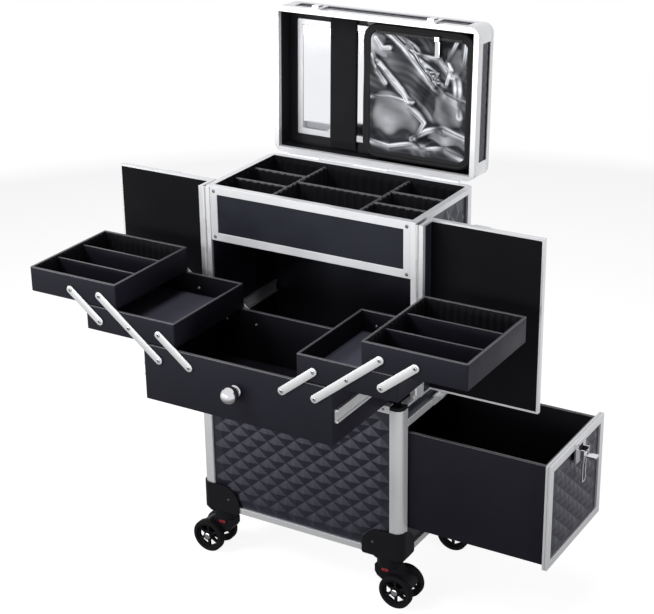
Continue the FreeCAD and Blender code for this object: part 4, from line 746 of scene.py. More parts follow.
def toned(piece: Piece, finishes: tuple[Finish, ...],
          chosen: Callable[[np.ndarray, np.ndarray], np.ndarray]) -> None:
    """Gives the faces of a piece several finishes.

    Args:
        piece: the piece.
        finishes: its finishes.
        chosen: gives each face the number of its finish, from its middle in millimetres and its normal.
    """
    piece.data.materials.clear()
    for finish in finishes:
        piece.data.materials.append(finish.material())
    middles, normals = (np.zeros(len(piece.data.polygons) * 3) for _ in range(2))
    piece.data.polygons.foreach_get("center", middles)
    piece.data.polygons.foreach_get("normal", normals)
    numbers = chosen(middles.reshape(-1, 3) / MM, normals.reshape(-1, 3))
    piece.data.polygons.foreach_set("material_index", numbers.astype(np.int32))


def axes_matrix(right: np.ndarray, up: np.ndarray, back: np.ndarray, spot: Point) -> np.ndarray:
    """Gives the matrix, by columns, of an object with these axes at a place."""
    matrix = np.eye(4)
    matrix[:3] = np.stack([right, up, back, spot], 1)
    return matrix.T


@dataclass(frozen=True)
class Lamp:
    """One soft lamp: its place, where it points, its width and height in metres and its power in watts."""

    name: str
    spot: Point
    aim: Point
    size: Pair
    power: float
    in_gloss: bool = False

    def hang(self) -> None:
        """Hangs the lamp, out of the camera's sight."""
        data = bpy.data.lights.new(self.name, "AREA")
        data.shape = "RECTANGLE"
        data.size, data.size_y = self.size
        data.energy = self.power
        lamp = bpy.data.objects.new(self.name, data)
        lamp.visible_glossy = self.in_gloss
        lamp.visible_camera = False
        back = np.array(self.spot) - np.array(self.aim)
        back /= np.linalg.norm(back)
        right = np.cross([0, 0, 1], back)
        right /= np.linalg.norm(right)
        lamp.matrix_world = axes_matrix(right, np.cross(back, right), back, self.spot)
        bpy.context.scene.collection.objects.link(lamp)


@dataclass
class Studio:
    """Camera, floor, world and lamps. Lengths are in metres."""

    spot: Point = (1.16517, -1.96441, 1.36563)
    azimuth: float = 30.9442
    elevation: float = 22.649
    roll: float = -0.844
    lens: float = 90.161
    film_width: float = 36.0
    sight: float = 60.0
    floor_reach: float = 14.0
    floor_colour: Colour = (0.22, 0.22, 0.22)
    floor_bounce: Colour = (0.2, 0.2, 0.2)
    floor_roughness: float = 0.9
    floor_drop: float = 0.2
    ambient: float = 0.12
    near_glow: float = 0.9
    glow_from: float = 0.7
    glow_to: float = 2.2
    near_gloss: float = 0.22
    gloss_from: float = 0.42
    gloss_to: float = 1.15
    lamps: tuple[Lamp, ...] = (
        Lamp("key_lamp", (-1.5, -1.7, 2.4), (0, 0, 0.4), (1.0, 1.0), 52),
        Lamp("low_front_lamp", (-0.85, -1.9, 0.63), (0, -0.1, 0.3), (2.6, 0.42), 25, in_gloss=True),
        Lamp("top_lamp", (0.1, -0.3, 2.9), (0, 0, 0.3), (1.0, 1.0), 34),
        Lamp("right_lamp", (2.4, -0.5, 0.42), (0.2, -0.1, 0.35), (0.8, 0.5), 30))

    def camera(self) -> None:
        """Sets the camera: right, up and back axes from its azimuth, elevation and roll."""
        data = bpy.data.cameras.new("studio_camera")
        data.lens = self.lens
        data.sensor_width = self.film_width
        data.sensor_fit = "HORIZONTAL"
        data.clip_end = self.sight
        turn, lift, roll = (math.radians(value) for value in (self.azimuth, self.elevation, self.roll))
        back = np.array([math.sin(turn) * math.cos(lift), -math.cos(turn) * math.cos(lift), math.sin(lift)])
        right = np.array([math.cos(turn), math.sin(turn), 0.0])
        up = np.cross(back, right)
        across = right * math.cos(roll) + up * math.sin(roll)
        upright = up * math.cos(roll) - right * math.sin(roll)
        camera = bpy.data.objects.new("studio_camera", data)
        camera.matrix_world = axes_matrix(across, upright, back, self.spot)
        bpy.context.scene.collection.objects.link(camera)
        bpy.context.scene.camera = camera

    def floor(self) -> None:
        """Lays a plain pale floor that glows white to the eye and to gloss, more so far from the object."""
        span = np.linspace(-self.floor_reach, self.floor_reach, 5) / MM
        x, y = np.meshgrid(span, span, indexing="ij")
        floor = surface("studio_floor", np.stack([x, y, 0 * x - self.floor_drop], -1))
        material, tree = blank_material("pale_floor")
        place = tree.add("TexCoord").outputs["Object"]
        away = tree.add("VectorMath", {0: place}, operation="LENGTH").outputs["Value"]
        eye, gloss = self.seen(tree)
        reach = tree.ramp(away, self.glow_from, self.glow_to, 0.0, 1.0)
        far = tree.math("MULTIPLY", eye, reach)
        near = tree.mix(eye, [*self.floor_bounce, 1], [*self.floor_colour, 1])
        colour = tree.mix(tree.math("MAXIMUM", far, gloss), near, [0, 0, 0, 1])
        shown = tree.ramp(away, self.gloss_from, self.gloss_to, self.near_gloss, 1.0)
        to_gloss = tree.math("MULTIPLY", gloss, shown)
        to_eye = tree.math("MAXIMUM", far, tree.math("MULTIPLY", eye, self.near_glow))
        glow = tree.math("MAXIMUM", to_eye, to_gloss)
        look = {"Base Color": colour, "Roughness": self.floor_roughness, "Specular IOR Level": 0.0}
        shader = tree.add("BsdfPrincipled", look)
        light = tree.add("Emission", {"Strength": glow})
        both = tree.add("AddShader", {0: shader.outputs[0], 1: light.outputs[0]})
        tree.add("OutputMaterial", {"Surface": both.outputs[0]})
        material.cycles.emission_sampling = "NONE"
        floor.data.materials.append(material)

    def seen(self, tree: Tree) -> tuple[Socket, Socket]:
        """Gives two values: 1 where the eye looks, and 1 where gloss or glass shows what is around."""
        path = tree.add("LightPath")
        gloss = tree.math("MAXIMUM", path.outputs["Is Glossy Ray"], path.outputs["Is Transmission Ray"])
        return path.outputs["Is Camera Ray"], gloss

    def world(self) -> None:
        """Sets a white surrounding to the eye and to gloss, and a softer one to the light."""
        world = bpy.data.worlds.new("studio_world")
        bpy.context.scene.world = world
        world.cycles.sampling_method = "NONE"
        world.use_nodes = True
        world.node_tree.nodes.clear()
        tree = Tree(world.node_tree)
        strength = tree.ramp(tree.math("MAXIMUM", *self.seen(tree)), 0, 1, self.ambient, 1.0)
        back = tree.add("Background", {"Color": (1, 1, 1, 1), "Strength": strength})
        tree.add("OutputWorld", {"Surface": back.outputs[0]})

    def build(self) -> None:
        """Sets up the whole studio."""
        bpy.context.scene.view_settings.view_transform = "Standard"
        self.camera()
        self.floor()
        self.world()
        for lamp in self.lamps:
            lamp.hang()


@dataclass
class LowerCase:
    """Lower box, its aluminium edges, brackets and the rails inside. Sizes are in millimetres."""

    screw_radius: float = 2.0
    rail_rivet: Point = (146.0, -112.0, 324.0)
    bracket_screw: Point = (129.0, 114.5, 101.0)

    def build(self) -> None:
        """Dresses the lower box."""
        dressed("base_and_deck", BOARD, round_off=0.5)
        for node in ("lower_front_panel", "side_panels", "rear_panel"):
            embossed(node)
        for node in ("posts", "edge_rails"):
            dressed(node, ALUMINIUM, round_off=0.5)
        for node in ("corner_brackets", "corner_caps"):
            dressed(node, PLASTIC, round_off=1.6, segments=3)
        dressed("cabinet_rails", STEEL, round_off=0.3)
        dressed("hinge_leaves", STEEL, round_off=0.2)
        self.screws()

    def screws(self) -> None:
        """Sets a screw in each bracket's wing and a rivet at both ends of the front deck rail."""
        x, y, z = self.bracket_screw
        for side_y, end in ENDS:
            places = [(x * side, y * side_y, z) for side in (-1, 1)]
            name = f"{end}_bracket_screws"
            screw_heads(name, places, (0, side_y, 0), self.screw_radius, "case", DARK_STEEL)
        x, y, z = self.rail_rivet
        places = [(x * side, y, z) for side in (-1, 1)]
        screw_heads("deck_rail_rivets", places, (0, -1, 0), self.screw_radius, "case", DARK_STEEL)


def screw_heads(name: str, places: list[Point], direction: Point, radius: float, body: str,
                finish: Finish) -> Piece:
    """Sets domed heads with a hollow middle, each a turned profile.

    Args:
        name: the piece's name.
        places: where they sit, in millimetres.
        direction: where they point.
        radius: their radius.
        body: the body that they move with.
        finish: their finish.

    Returns:
        One piece that holds them all.
    """
    profile = [(0, -0.4), (radius, -0.4), (radius, 0.25), (radius * 0.8, 0.8), (radius * 0.5, 0.95),
               (radius * 0.34, 0.3), (0, 0.2)]
    heads = aimed(turned(profile, 16), direction, places)
    return formed(name, heads, body, finish, round_rows=True, copies=True)


@dataclass
class TopBox:
    """Framed front, rim and ribbed compartments. Sizes are in millimetres."""

    rivet_across: float = 162.0
    rivet_rows: Pair = (521.0, 592.5)
    frame_face: float = -73.0
    rivet_radius: float = 2.7
    divider_across: float = 73.0
    divider_wall: float = 3.6
    rib_pitch: float = 13.0
    rib_depth: float = 2.3
    highlight_band: float = 2.2

    def build(self) -> None:
        """Dresses the top box."""
        dressed("upper_front_panel", SMOOTH_BOARD, round_off=0.4)
        dressed("upper_front_frame", ALUMINIUM, round_off=0.5)
        toned(dressed("top_rim", ALUMINIUM, round_off=0.7), (ALUMINIUM, LINING), self.inward)
        dressed("top_box_liner", LINING, round_off=0.4)
        self.dividers()
        across = (-self.rivet_across, self.rivet_across)
        places = [(x, self.frame_face, z) for x in across for z in self.rivet_rows]
        screw_heads("front_frame_rivets", places, (0, -1, 0), self.rivet_radius, "case", DARK_STEEL)

    def inward(self, middle: np.ndarray, normal: np.ndarray) -> np.ndarray:
        """Marks the upright faces that look in towards the middle of the box."""
        centre = np.mean(node_box("top_box_dividers"), axis=0)[:2]
        upright = abs(normal[:, 2]) < UPRIGHT
        return (np.sum((centre - middle[:, :2]) * normal[:, :2], axis=1) > 0) & upright

    def dividers(self) -> None:
        """Stands ribbed dividers in the box: two long ones, two on either side and one in the middle."""
        low, high = node_box("top_box_dividers")
        levels = (low[2], high[2])
        across = self.divider_across
        reach = across - self.divider_wall / 2
        rows = thirds(low[1], high[1])
        middle = (low[1] + high[1]) / 2
        sets = {
            "long_dividers": [((x, low[1]), (x, high[1])) for x in (-across, across)],
            "side_dividers": [((side * reach, y), (side * high[0], y)) for side in (-1, 1) for y in rows],
            "middle_divider": [((-reach, middle), (reach, middle))]}
        nodes = ["top_box_dividers"]
        for name, lines in sets.items():
            ribs = (levels, self.divider_wall, self.rib_pitch, self.rib_depth)
            boards = np.stack([ribbed_board(start, end, *ribs) for start, end in lines])
            piece = surface(name, boards, round_rows=True, copies=True)
            # The band at the top of each divider gets a painted highlight.
            edge = levels[1] - self.highlight_band
            toned(piece, (LINING, DIVIDER_TOP_HIGHLIGHT), lambda middle, _: middle[:, 2] > edge)
            fitted(piece, "case", LINING, *nodes)
            nodes = []


@dataclass
class Lid:
    """Lid with mirror, strap and latches. Sizes are in millimetres, in the lid's own frame."""

    hinge: Pair = (114.5, 600.5)
    angle: float = -92.0
    wall_half: Pair = (171.5, 112.5)
    wall_middle: float = -116.5
    wall_levels: Pair = (8.5, 41.0)
    wall: float = 4.0
    wall_corner: float = 12.5
    relief: float = 1.2
    relief_rows: int = 2
    trim_top: float = 17.0
    trim_foot: float = 8.0
    relief_turn: float = 10.0
    cap_leg: float = 12.0
    cap_taper: float = 1.5
    cap_seat: float = 0.3
    cap_levels: Pair = (7.6, 42.0)
    tab_low: Point = (-27.0, -219.5, 32.0)
    tab_high: Point = (1.0, -209.5, 33.4)
    strap: Pair = (-90.5, -44.5)
    strap_run: Pair = (-223.5, -9.5)
    strap_bend: Pair = (-208.0, -26.0)
    lining: float = 36.0
    mirror_front: float = 33.0
    strap_gap: Pair = (0.6, 1.0)
    strap_wall: float = 0.8

    def placed(self, points: np.ndarray) -> np.ndarray:
        """Turns points from the lid's own frame to the open lid's place."""
        turn = math.radians(self.angle)
        y = self.hinge[0] + points[..., 1] * math.cos(turn) - points[..., 2] * math.sin(turn)
        z = self.hinge[1] + points[..., 1] * math.sin(turn) + points[..., 2] * math.cos(turn)
        return np.stack([points[..., 0], y, z], -1)

    def laid(self, name: str, points: np.ndarray, finish: Finish, *nodes: str, **closed: bool) -> Piece:
        """Makes a piece of the lid from points in the lid's own frame, and returns it."""
        return formed(name, self.placed(points), "lid", finish, *nodes, **closed)

    def below_board(self, points: np.ndarray) -> np.ndarray:
        """Marks the points of the open lid that lie under its embossed board, in its walls."""
        turn = math.radians(self.angle)
        y, z = (points[:, axis] - self.hinge[axis - 1] for axis in (1, 2))
        return z * math.cos(turn) - y * math.sin(turn) < self.wall_levels[1] - 0.1

    def build(self) -> None:
        """Dresses the lid."""
        embossed("lid_shell", self.below_board)
        self.walls()
        self.trims()
        dressed("lid_frame", ALUMINIUM, round_off=0.6)
        dressed("lid_lining", LINING, round_off=0.5)
        dressed("mirror_frame", MIRROR_FRAME, round_off=0.8)
        dressed("mirror_glass", MIRROR, round_off=0.4)
        for _, hand in SIDES:
            dressed(f"{hand}_lid_latch", CHROME, round_off=0.7)
        self.strap_band()
        ZipBag(self).build()

    def walls(self) -> None:
        """Carries the walls round the lid: outside a field of pyramids, inside a plain lining.

        A pyramid's height is the lesser of two triangle waves, one along the wall and one across it.
        """
        low, high = self.wall_levels
        steps = self.relief_rows * 4
        across = np.linspace(0, self.relief_rows, steps + 1)
        around = round(4 * sum(self.wall_half) * self.relief_rows / (high - low)) * 4
        along = np.arange(around) / 4
        wave_across, wave_along = (1 - abs(2 * (value % 1) - 1) for value in (across, along))
        bulge = self.relief * np.minimum(wave_across[:, None], wave_along[None])
        level = low + (high - low) * across / self.relief_rows
        half_wall = self.wall / 2
        outer = self.ring(np.append(np.full(steps + 1, self.relief), [half_wall, half_wall]), around)
        middle = np.array([0.0, self.wall_middle])
        out = outer[:1] - outer[-1:]
        out = out / np.linalg.norm(out, axis=-1, keepdims=True)
        outer[:-2] += bulge[..., None] * out
        level = np.append(level, [high, low])
        points = raised(outer + middle, level)
        skin = surface("lid_wall_skin", self.placed(points), round_rows=True, round_columns=True)
        smooth(skin, self.relief_turn)
        fitted(skin, "lid", EMBOSSED)
        inner = self.ring(np.array([half_wall, half_wall, self.wall, self.wall]), 96)
        points = raised(inner + middle, np.array([low, high, high, low]))
        self.laid("lid_wall_lining", points, LINING, round_rows=True, round_columns=True)

    def trims(self) -> None:
        """Adds the deep side of the front rim, the polished corner caps and the tab at the mirror's top."""
        inset = np.array([-1.0, -1.0, -0.6, 0.8, 0.8])
        foot, top = self.trim_foot, self.trim_top
        level = np.array([foot, top - 0.5, top, top, foot])
        points = raised(self.ring(inset, 120) + [0.0, self.wall_middle], level)
        self.laid("lid_side_trim", points, ALUMINIUM, round_rows=True, round_columns=True)
        self.laid("lid_corner_caps", self.caps(), POLISHED, round_rows=True, copies=True)
        tab = slab(self.tab_low, self.tab_high, edge=0.5, corner=4.5)
        self.laid("mirror_tab", tab, GREY_TAB, round_columns=True)

    def caps(self) -> np.ndarray:
        """Gives the corner caps: a band bent round each corner, thinned to nothing at its legs' ends."""
        low, high = self.cap_levels
        turn = np.linspace(0, math.pi / 2, 9)
        legs = np.array([self.cap_leg, self.cap_leg - self.cap_taper])
        radius = self.wall_corner
        offset = np.array([0.4, 1.5, 1.75, 1.75, 1.5, 0.4])
        level = np.array([low, low, low + 1.0, high - 1.0, high, high])
        thick = np.concatenate([[0.0], np.ones(11), [0.0]])
        out = self.cap_seat + (offset[:, None] - self.cap_seat) * thick[None]
        x = np.concatenate([np.ones(2), np.cos(turn), np.zeros(2)])
        y = np.concatenate([np.zeros(2), np.sin(turn), np.ones(2)])
        slide_x = np.concatenate([np.zeros(11), -legs[::-1]])
        slide_y = np.concatenate([-legs, np.zeros(11)])
        px = (radius + out) * x + slide_x + self.wall_half[0] - radius
        py = (radius + out) * y + slide_y + self.wall_half[1] - radius
        corners = [np.stack([px * sx, py * sy + self.wall_middle, level[:, None] + 0 * px], -1)
                   for sx in (-1, 1) for sy in (-1, 1)]
        return np.stack(corners)

    def ring(self, inset: np.ndarray, count: int) -> np.ndarray:
        """Gives rings round the lid, one for each inset from its outer face."""
        half_x, half_y = self.wall_half
        return dense(outline(half_x - inset, half_y - inset, self.wall_corner - inset, 8), count)

    def strap_band(self) -> None:
        """Lays the strap: flat across its width, and along its run down to the lining at both ends.

        The height over the lining is a smooth step from the lining to the mirror's face and back.
        """
        across = np.linspace(self.strap[0], self.strap[1], 13)
        along = np.linspace(self.strap_run[0], self.strap_run[1], 90)
        x, y = np.meshgrid(across, along, indexing="ij")
        near = (y - self.strap_run[0]) / (self.strap_bend[0] - self.strap_run[0])
        far = (self.strap_run[1] - y) / (self.strap_run[1] - self.strap_bend[1])
        foot, face = self.lining - self.strap_gap[0], self.mirror_front - self.strap_gap[1]
        z = foot - eased(np.minimum(near, far)) * (foot - face)
        strap = surface("mirror_strap_band", self.placed(np.stack([x, y, z], -1)))
        thickened(strap, "webbing_wall", self.strap_wall)
        fitted(strap, "lid", WEBBING, "mirror_strap")


def dense(rings: np.ndarray, count: int) -> np.ndarray:
    """Spreads points along closed rings, evenly along the first, by straight steps between their points.

    Args:
        rings: rings by points by two.
        count: how many points each ring gets.

    Returns:
        Rings by count by two.
    """
    closed = np.concatenate([rings, rings[:, :1]], 1)
    steps = np.linalg.norm(np.diff(closed[0], axis=0), axis=1)
    run = np.append(0, np.cumsum(steps))
    spot = np.interp(np.linspace(0, run[-1], count, endpoint=False), run, np.arange(len(run)))
    start = spot.astype(int)
    part = (spot - start)[None, :, None]
    return closed[:, start] * (1 - part) + closed[:, start + 1] * part


@dataclass
class ZipBag:
    """Soft bag in the lid: bound gusset, zip, hem and film. Sizes are in millimetres, in the lid's frame."""

    lid: Lid
    across: Pair = (-23.5, 161.5)
    down: Pair = (-218.5, -12.0)
    front: float = 13.0
    back: float = 31.6
    corner: float = 25.0
    film_inset: float = 8.0
    binding: float = 13.0
    film_flat: Pair = (0.19, 0.215)
    zip_line: float = -206.0
    zip_run: Pair = (0.0, 142.0)
    tooth_pitch: float = 2.6
    hem_low: Point = (22.5, -217.0, 31.0)
    hem_high: Point = (135.5, -208.0, 36.0)
    tooth_low: Point = (-0.8, -2.2, -1.5)
    tooth_high: Point = (0.8, 2.2, 0.9)
    around: int = 180
    waves: tuple[Point, ...] = ((0.5, 5, 0.7), (0.35, 9, 2.0))
    wave_lift: float = 0.6
    film_ease: float = 0.09
    film_seat: float = 2.0
    film_level: float = 2.5
    film_reach: Pair = (-8.0, 1.6)
    film_wall: float = 0.3
    film_turn: float = 70.0

    def build(self) -> None:
        """Makes the bag and its zip."""
        binding = self.gusset()
        teeth = self.teeth()
        hem = slab(self.hem_low, self.hem_high, edge=0.8)
        self.lid.laid("bag_hem", hem, BINDING, round_columns=True)
        dressed("zip_pull", CHROME, round_off=0.6)
        film = self.film()

    def gusset(self) -> Piece:
        """Carries the bag's side and its bound edge round a rounded rectangle that waves a little.

        Each wave has a height, a number of turns round the bag and a start. The profile runs from the back
        up the side, over the rolled binding with its groove and back inside.
        """
        front, back = self.front, self.back
        profile = np.array([
            (1.5, back), (0.0, back - 1.5), (0.0, front + 5), (0.4, front + 1.8), (2.0, front + 0.4),
            (4.5, front), (6.2, front + 0.7), (8.0, front), (11.0, front + 0.2), (12.6, front + 1.2),
            (13.0, front + 2.4), (11.5, front + 3.4), (3.4, front + 4.2), (2.2, front + 6),
            (2.2, back - 1.5), (3.0, back)])
        inset, level = profile.T
        half_x, half_y = ((span[1] - span[0]) / 2 for span in (self.across, self.down))
        ring = dense(outline(half_x - inset, half_y - inset, self.corner - inset, 8), self.around)
        turn = np.linspace(0, 2 * math.pi, self.around, endpoint=False)
        wave = sum(tall * np.sin(turns * turn + start) for tall, turns, start in self.waves)
        share = np.clip((back - level) / (back - front), 0, 1)
        height = level[:, None] + share[:, None] * (self.wave_lift + wave[None])
        middle = [sum(self.across) / 2, sum(self.down) / 2]
        points = np.concatenate([ring + middle, height[..., None]], -1)
        return self.lid.laid("bag_binding", points, BINDING, "zip_bag", round_rows=True, round_columns=True)

    def teeth(self) -> Piece:
        """Sets the closed zip's teeth in a row along the top of the binding."""
        places = np.arange(self.zip_run[0], self.zip_run[1], self.tooth_pitch)
        tooth = slab(self.tooth_low, self.tooth_high, edge=0.3, corner=0.3, per_corner=1)
        shift = np.stack([places, np.full_like(places, self.zip_line), np.full_like(places, self.front)], -1)
        row = tooth[None] * [1, 1, -1] + shift[:, None, None]
        return self.lid.laid("zip_teeth", row, ZIP_TEETH, round_columns=True, copies=True)

    def film(self) -> Piece:
        """Hangs the clear film: flat under the binding, within it a sagging field with folds."""
        x = np.linspace(self.across[0] + self.film_inset, self.across[1] - self.film_inset, 150)
        y = np.linspace(self.down[0] + self.film_inset, self.down[1] - self.film_inset, 170)
        x, y = np.meshgrid(x, y, indexing="ij")
        share_x, share_y = (
            (place - span[0] - self.binding) / (span[1] - span[0] - 2 * self.binding)
            for place, span in ((x, self.across), (y, self.down)))
        height, film_highlight_mask = Folds().heights(share_x, share_y)
        edge = np.minimum(np.minimum(share_x, 1 - share_x), np.minimum(share_y, 1 - share_y))
        rise = eased(edge / self.film_ease) * np.clip(height - self.film_level, *self.film_reach)
        level = self.front + self.film_seat - rise
        film = surface("clear_bag_film", self.lid.placed(np.stack([x, y, level], -1)))
        # The painted highlight mask is stored on the film's points.
        mask = film.data.attributes.new("film_highlight_mask", "FLOAT", "POINT")
        mask.data.foreach_set("value", film_highlight_mask.ravel().astype(np.float32))
        smooth(film, self.film_turn)
        thickened(film, "film_wall", self.film_wall)
        return fitted(film, "lid", FILM)


@dataclass(frozen=True)
class Fold:
    """One fold of film: its line across and down the bag, and its width and height in millimetres."""

    line: tuple[Pair, ...]
    wide: float
    tall: float


@dataclass(frozen=True)
class Wave:
    """One wave over the film: tall times the sine of x, y and bend, each times its own rate, and a start."""

    tall: float
    x: float
    y: float
    bend: float = 0.0
    start: float = 0.0


def summed(waves: tuple[Wave, ...], x: np.ndarray, y: np.ndarray,
           bend: np.ndarray | float = 0.0) -> np.ndarray:
    """Adds up waves at each place x and y, in millimetres, bent by a field."""
    return sum(wave.tall * np.sin(wave.x * x + wave.y * y + wave.bend * bend + wave.start) for wave in waves)


@dataclass
class Folds:
    """The film's folds. The film is as wide and long as given, in millimetres.

    A turn is a slope across, a slope down, a spread and an amount of painted highlight, for slopes that would
    face a lamp. A sheen is the middle of a patch across and down, half its width and length, and its amount
    of painted sheen.
    """

    width: float = 154.0
    length: float = 178.0
    folds: tuple[Fold, ...] = (
        Fold(((0.16, -0.02), (0.34, 0.09), (0.46, 0.20), (0.58, 0.31), (0.66, 0.40)), 4.0, 5.0),
        Fold(((0.24, -0.02), (0.44, 0.09), (0.53, 0.21), (0.63, 0.29), (0.70, 0.37)), 3.4, 4.5),
        Fold(((0.02, 0.18), (0.07, 0.33), (0.16, 0.42)), 4.0, 3.5),
        Fold(((0.07, 0.27), (0.27, 0.44), (0.40, 0.56)), 4.0, 4.5),
        Fold(((-0.02, 0.535), (0.21, 0.53), (0.44, 0.56)), 3.0, 4.5),
        Fold(((0.99, 0.02), (0.97, 0.21), (0.86, 0.30), (0.80, 0.18), (0.90, 0.0)), 4.0, 4.0),
        Fold(((0.38, 0.09), (0.54, 0.155), (0.72, 0.165), (0.84, 0.25), (0.80, 0.36)), 4.0, 4.0),
        Fold(((-0.02, 0.92), (0.21, 0.95), (0.45, 0.90), (0.60, 0.93), (0.79, 0.90), (1.02, 0.97)), 4.0, 5.0),
        Fold(((0.45, 0.86), (0.60, 0.78), (0.77, 0.73), (1.02, 0.80)), 6.0, 5.0),
        Fold(((0.60, 0.27), (0.70, 0.29), (0.67, 0.35), (0.76, 0.37)), 2.4, 3.0),
        Fold(((0.40, 0.60), (0.56, 0.72), (0.50, 0.84)), 5.0, 3.5),
        Fold(((0.05, 0.05), (0.12, 0.13), (0.20, 0.12)), 5.0, 4.0),
        Fold(((0.15, 0.30), (0.42, 0.52), (0.60, 0.70)), 14.0, -5.0),
        Fold(((0.72, 0.45), (0.84, 0.60)), 18.0, -4.0),
        Fold(((0.80, 0.45), (0.99, 0.50)), 7.0, 3.5),
        Fold(((0.90, 0.30), (0.93, 0.62)), 10.0, 3.5))
    bends: tuple[Wave, ...] = (Wave(6, 1 / 19, 0, start=1.3), Wave(5, 0, 1 / 27, start=0.4))
    slow: tuple[Wave, ...] = (
        Wave(1.1, 1 / 8, 1 / 15, 1 / 8), Wave(1.0, -1 / 14, 1 / 9, -1 / 9, 1.9),
        Wave(0.16, 1 / 4.1, 1 / 4.1, 2 / 4.1), Wave(0.1, 1 / 3.7, -1.7 / 3.7, 3 / 3.7))
    ragged: tuple[Wave, ...] = (Wave(0.02, 1 / 7, 1 / 23), Wave(0.015, -1 / 17, 1 / 6))
    streaks: tuple[Wave, ...] = (Wave(0.22, 1 / 5.5, -0.6 / 5.5, 2.2 / 5.5),)
    light: tuple[Wave, ...] = (Wave(0.45, 1 / 11, -1 / 11, 1 / 5),)
    streak_base: float = 0.8
    streak_slope: float = 0.3
    light_base: float = 0.55
    fall: float = 1.5
    crest_place: float = 0.35
    crest_width: float = 0.3
    patch_power: int = 8
    white_gain: float = 1.2
    white_floor: float = 0.04
    turns: tuple[tuple[float, float, float, float], ...] = (
        (0.75, -0.55, 0.32, 1.0), (-0.8, 0.6, 0.28, 0.95), (0.25, -0.75, 0.34, 0.35))
    sheens: tuple[tuple[float, float, float, float, float], ...] = (
        (0.25, 0.665, 0.22, 0.155, 0.4), (0.82, 0.82, 0.18, 0.05, 0.4), (0.82, 0.61, 0.15, 0.12, 0.3),
        (0.07, 0.10, 0.07, 0.08, 0.5), (0.88, 0.20, 0.09, 0.12, 0.2))

    def heights(self, across: np.ndarray, down: np.ndarray) -> tuple[np.ndarray, np.ndarray]:
        """Adds slow waves and the folds: each fold is a ridge that falls off with the distance from its line.

        The mask gets painted highlights where its slopes across and down come near a few set turns, painted
        highlights along the crests of its ridges, and painted sheen in a few patches with a firm edge.

        Args:
            across: place across the film from 0 to 1.
            down: place down the film from 0 to 1.

        Returns:
            Heights in millimetres and a painted highlight mask from 0 to 1.
        """
        x, y = across * self.width, down * self.length
        bend = summed(self.bends, x, y)
        height = summed(self.slow, x, y, bend)
        crest_highlight = np.zeros_like(x)
        for fold in self.folds:
            away = self.distance(fold, x, y) / fold.wide
            height += fold.tall * np.exp(-away ** self.fall)
            # Each raised fold's crest gets a band of painted highlight.
            if fold.tall > 0:
                crest_highlight = np.maximum(crest_highlight, np.exp(-((away - self.crest_place) / self.crest_width) ** 2))
        slope_x = np.gradient(height, x[1, 0] - x[0, 0], axis=0)
        slope_y = np.gradient(height, y[0, 1] - y[0, 0], axis=1)
        # Painted highlights where the slopes face the set turns.
        white = np.zeros_like(x)
        for turn_x, turn_y, spread, amount in self.turns:
            miss = (slope_x - turn_x) ** 2 + (slope_y - turn_y) ** 2
            white += amount * np.exp(-miss / (2 * spread ** 2))
        ragged = summed(self.ragged, x, y)
        streak = self.streak_base + summed(self.streaks, x, y, bend)
        streak += self.streak_slope * np.tanh(2 * (slope_x - slope_y))
        # Painted sheen in patches, streaked.
        for middle_x, middle_y, wide, long, amount in self.sheens:
            off_x, off_y = (across - middle_x + ragged) / wide, (down - middle_y + ragged) / long
            patch = np.exp(-off_x ** self.patch_power - off_y ** self.patch_power)
            white = np.maximum(white, amount * patch * streak)
        # Painted highlight along the crests of the ridges.
        lit = self.light_base + summed(self.light, x, y, bend)
        mask = self.white_gain * np.maximum(white, lit * crest_highlight) - self.white_floor
        return height, np.clip(mask, 0, 1)

    def distance(self, fold: Fold, x: np.ndarray, y: np.ndarray) -> np.ndarray:
        """Gives the distance in millimetres from a fold's line, the least over its straight stretches."""
        corners = np.array(fold.line) * [self.width, self.length]
        away = np.full_like(x, np.inf)
        for start, end in zip(corners[:-1], corners[1:]):
            run = end - start
            part = np.clip(((x - start[0]) * run[0] + (y - start[1]) * run[1]) / (run @ run), 0, 1)
            away = np.minimum(away, np.hypot(x - start[0] - part * run[0], y - start[1] - part * run[1]))
        return away


@dataclass
class Doors:
    """The two front doors."""

    def build(self) -> None:
        """Dresses the doors."""
        for _, hand in SIDES:
            panel = embossed(f"{hand}_door_panel")
            toned(panel, (EMBOSSED, DOOR_LINING), lambda _, normal: normal[:, 1] < -FACING)
            dressed(f"{hand}_door_frame", ALUMINIUM, round_off=0.4)


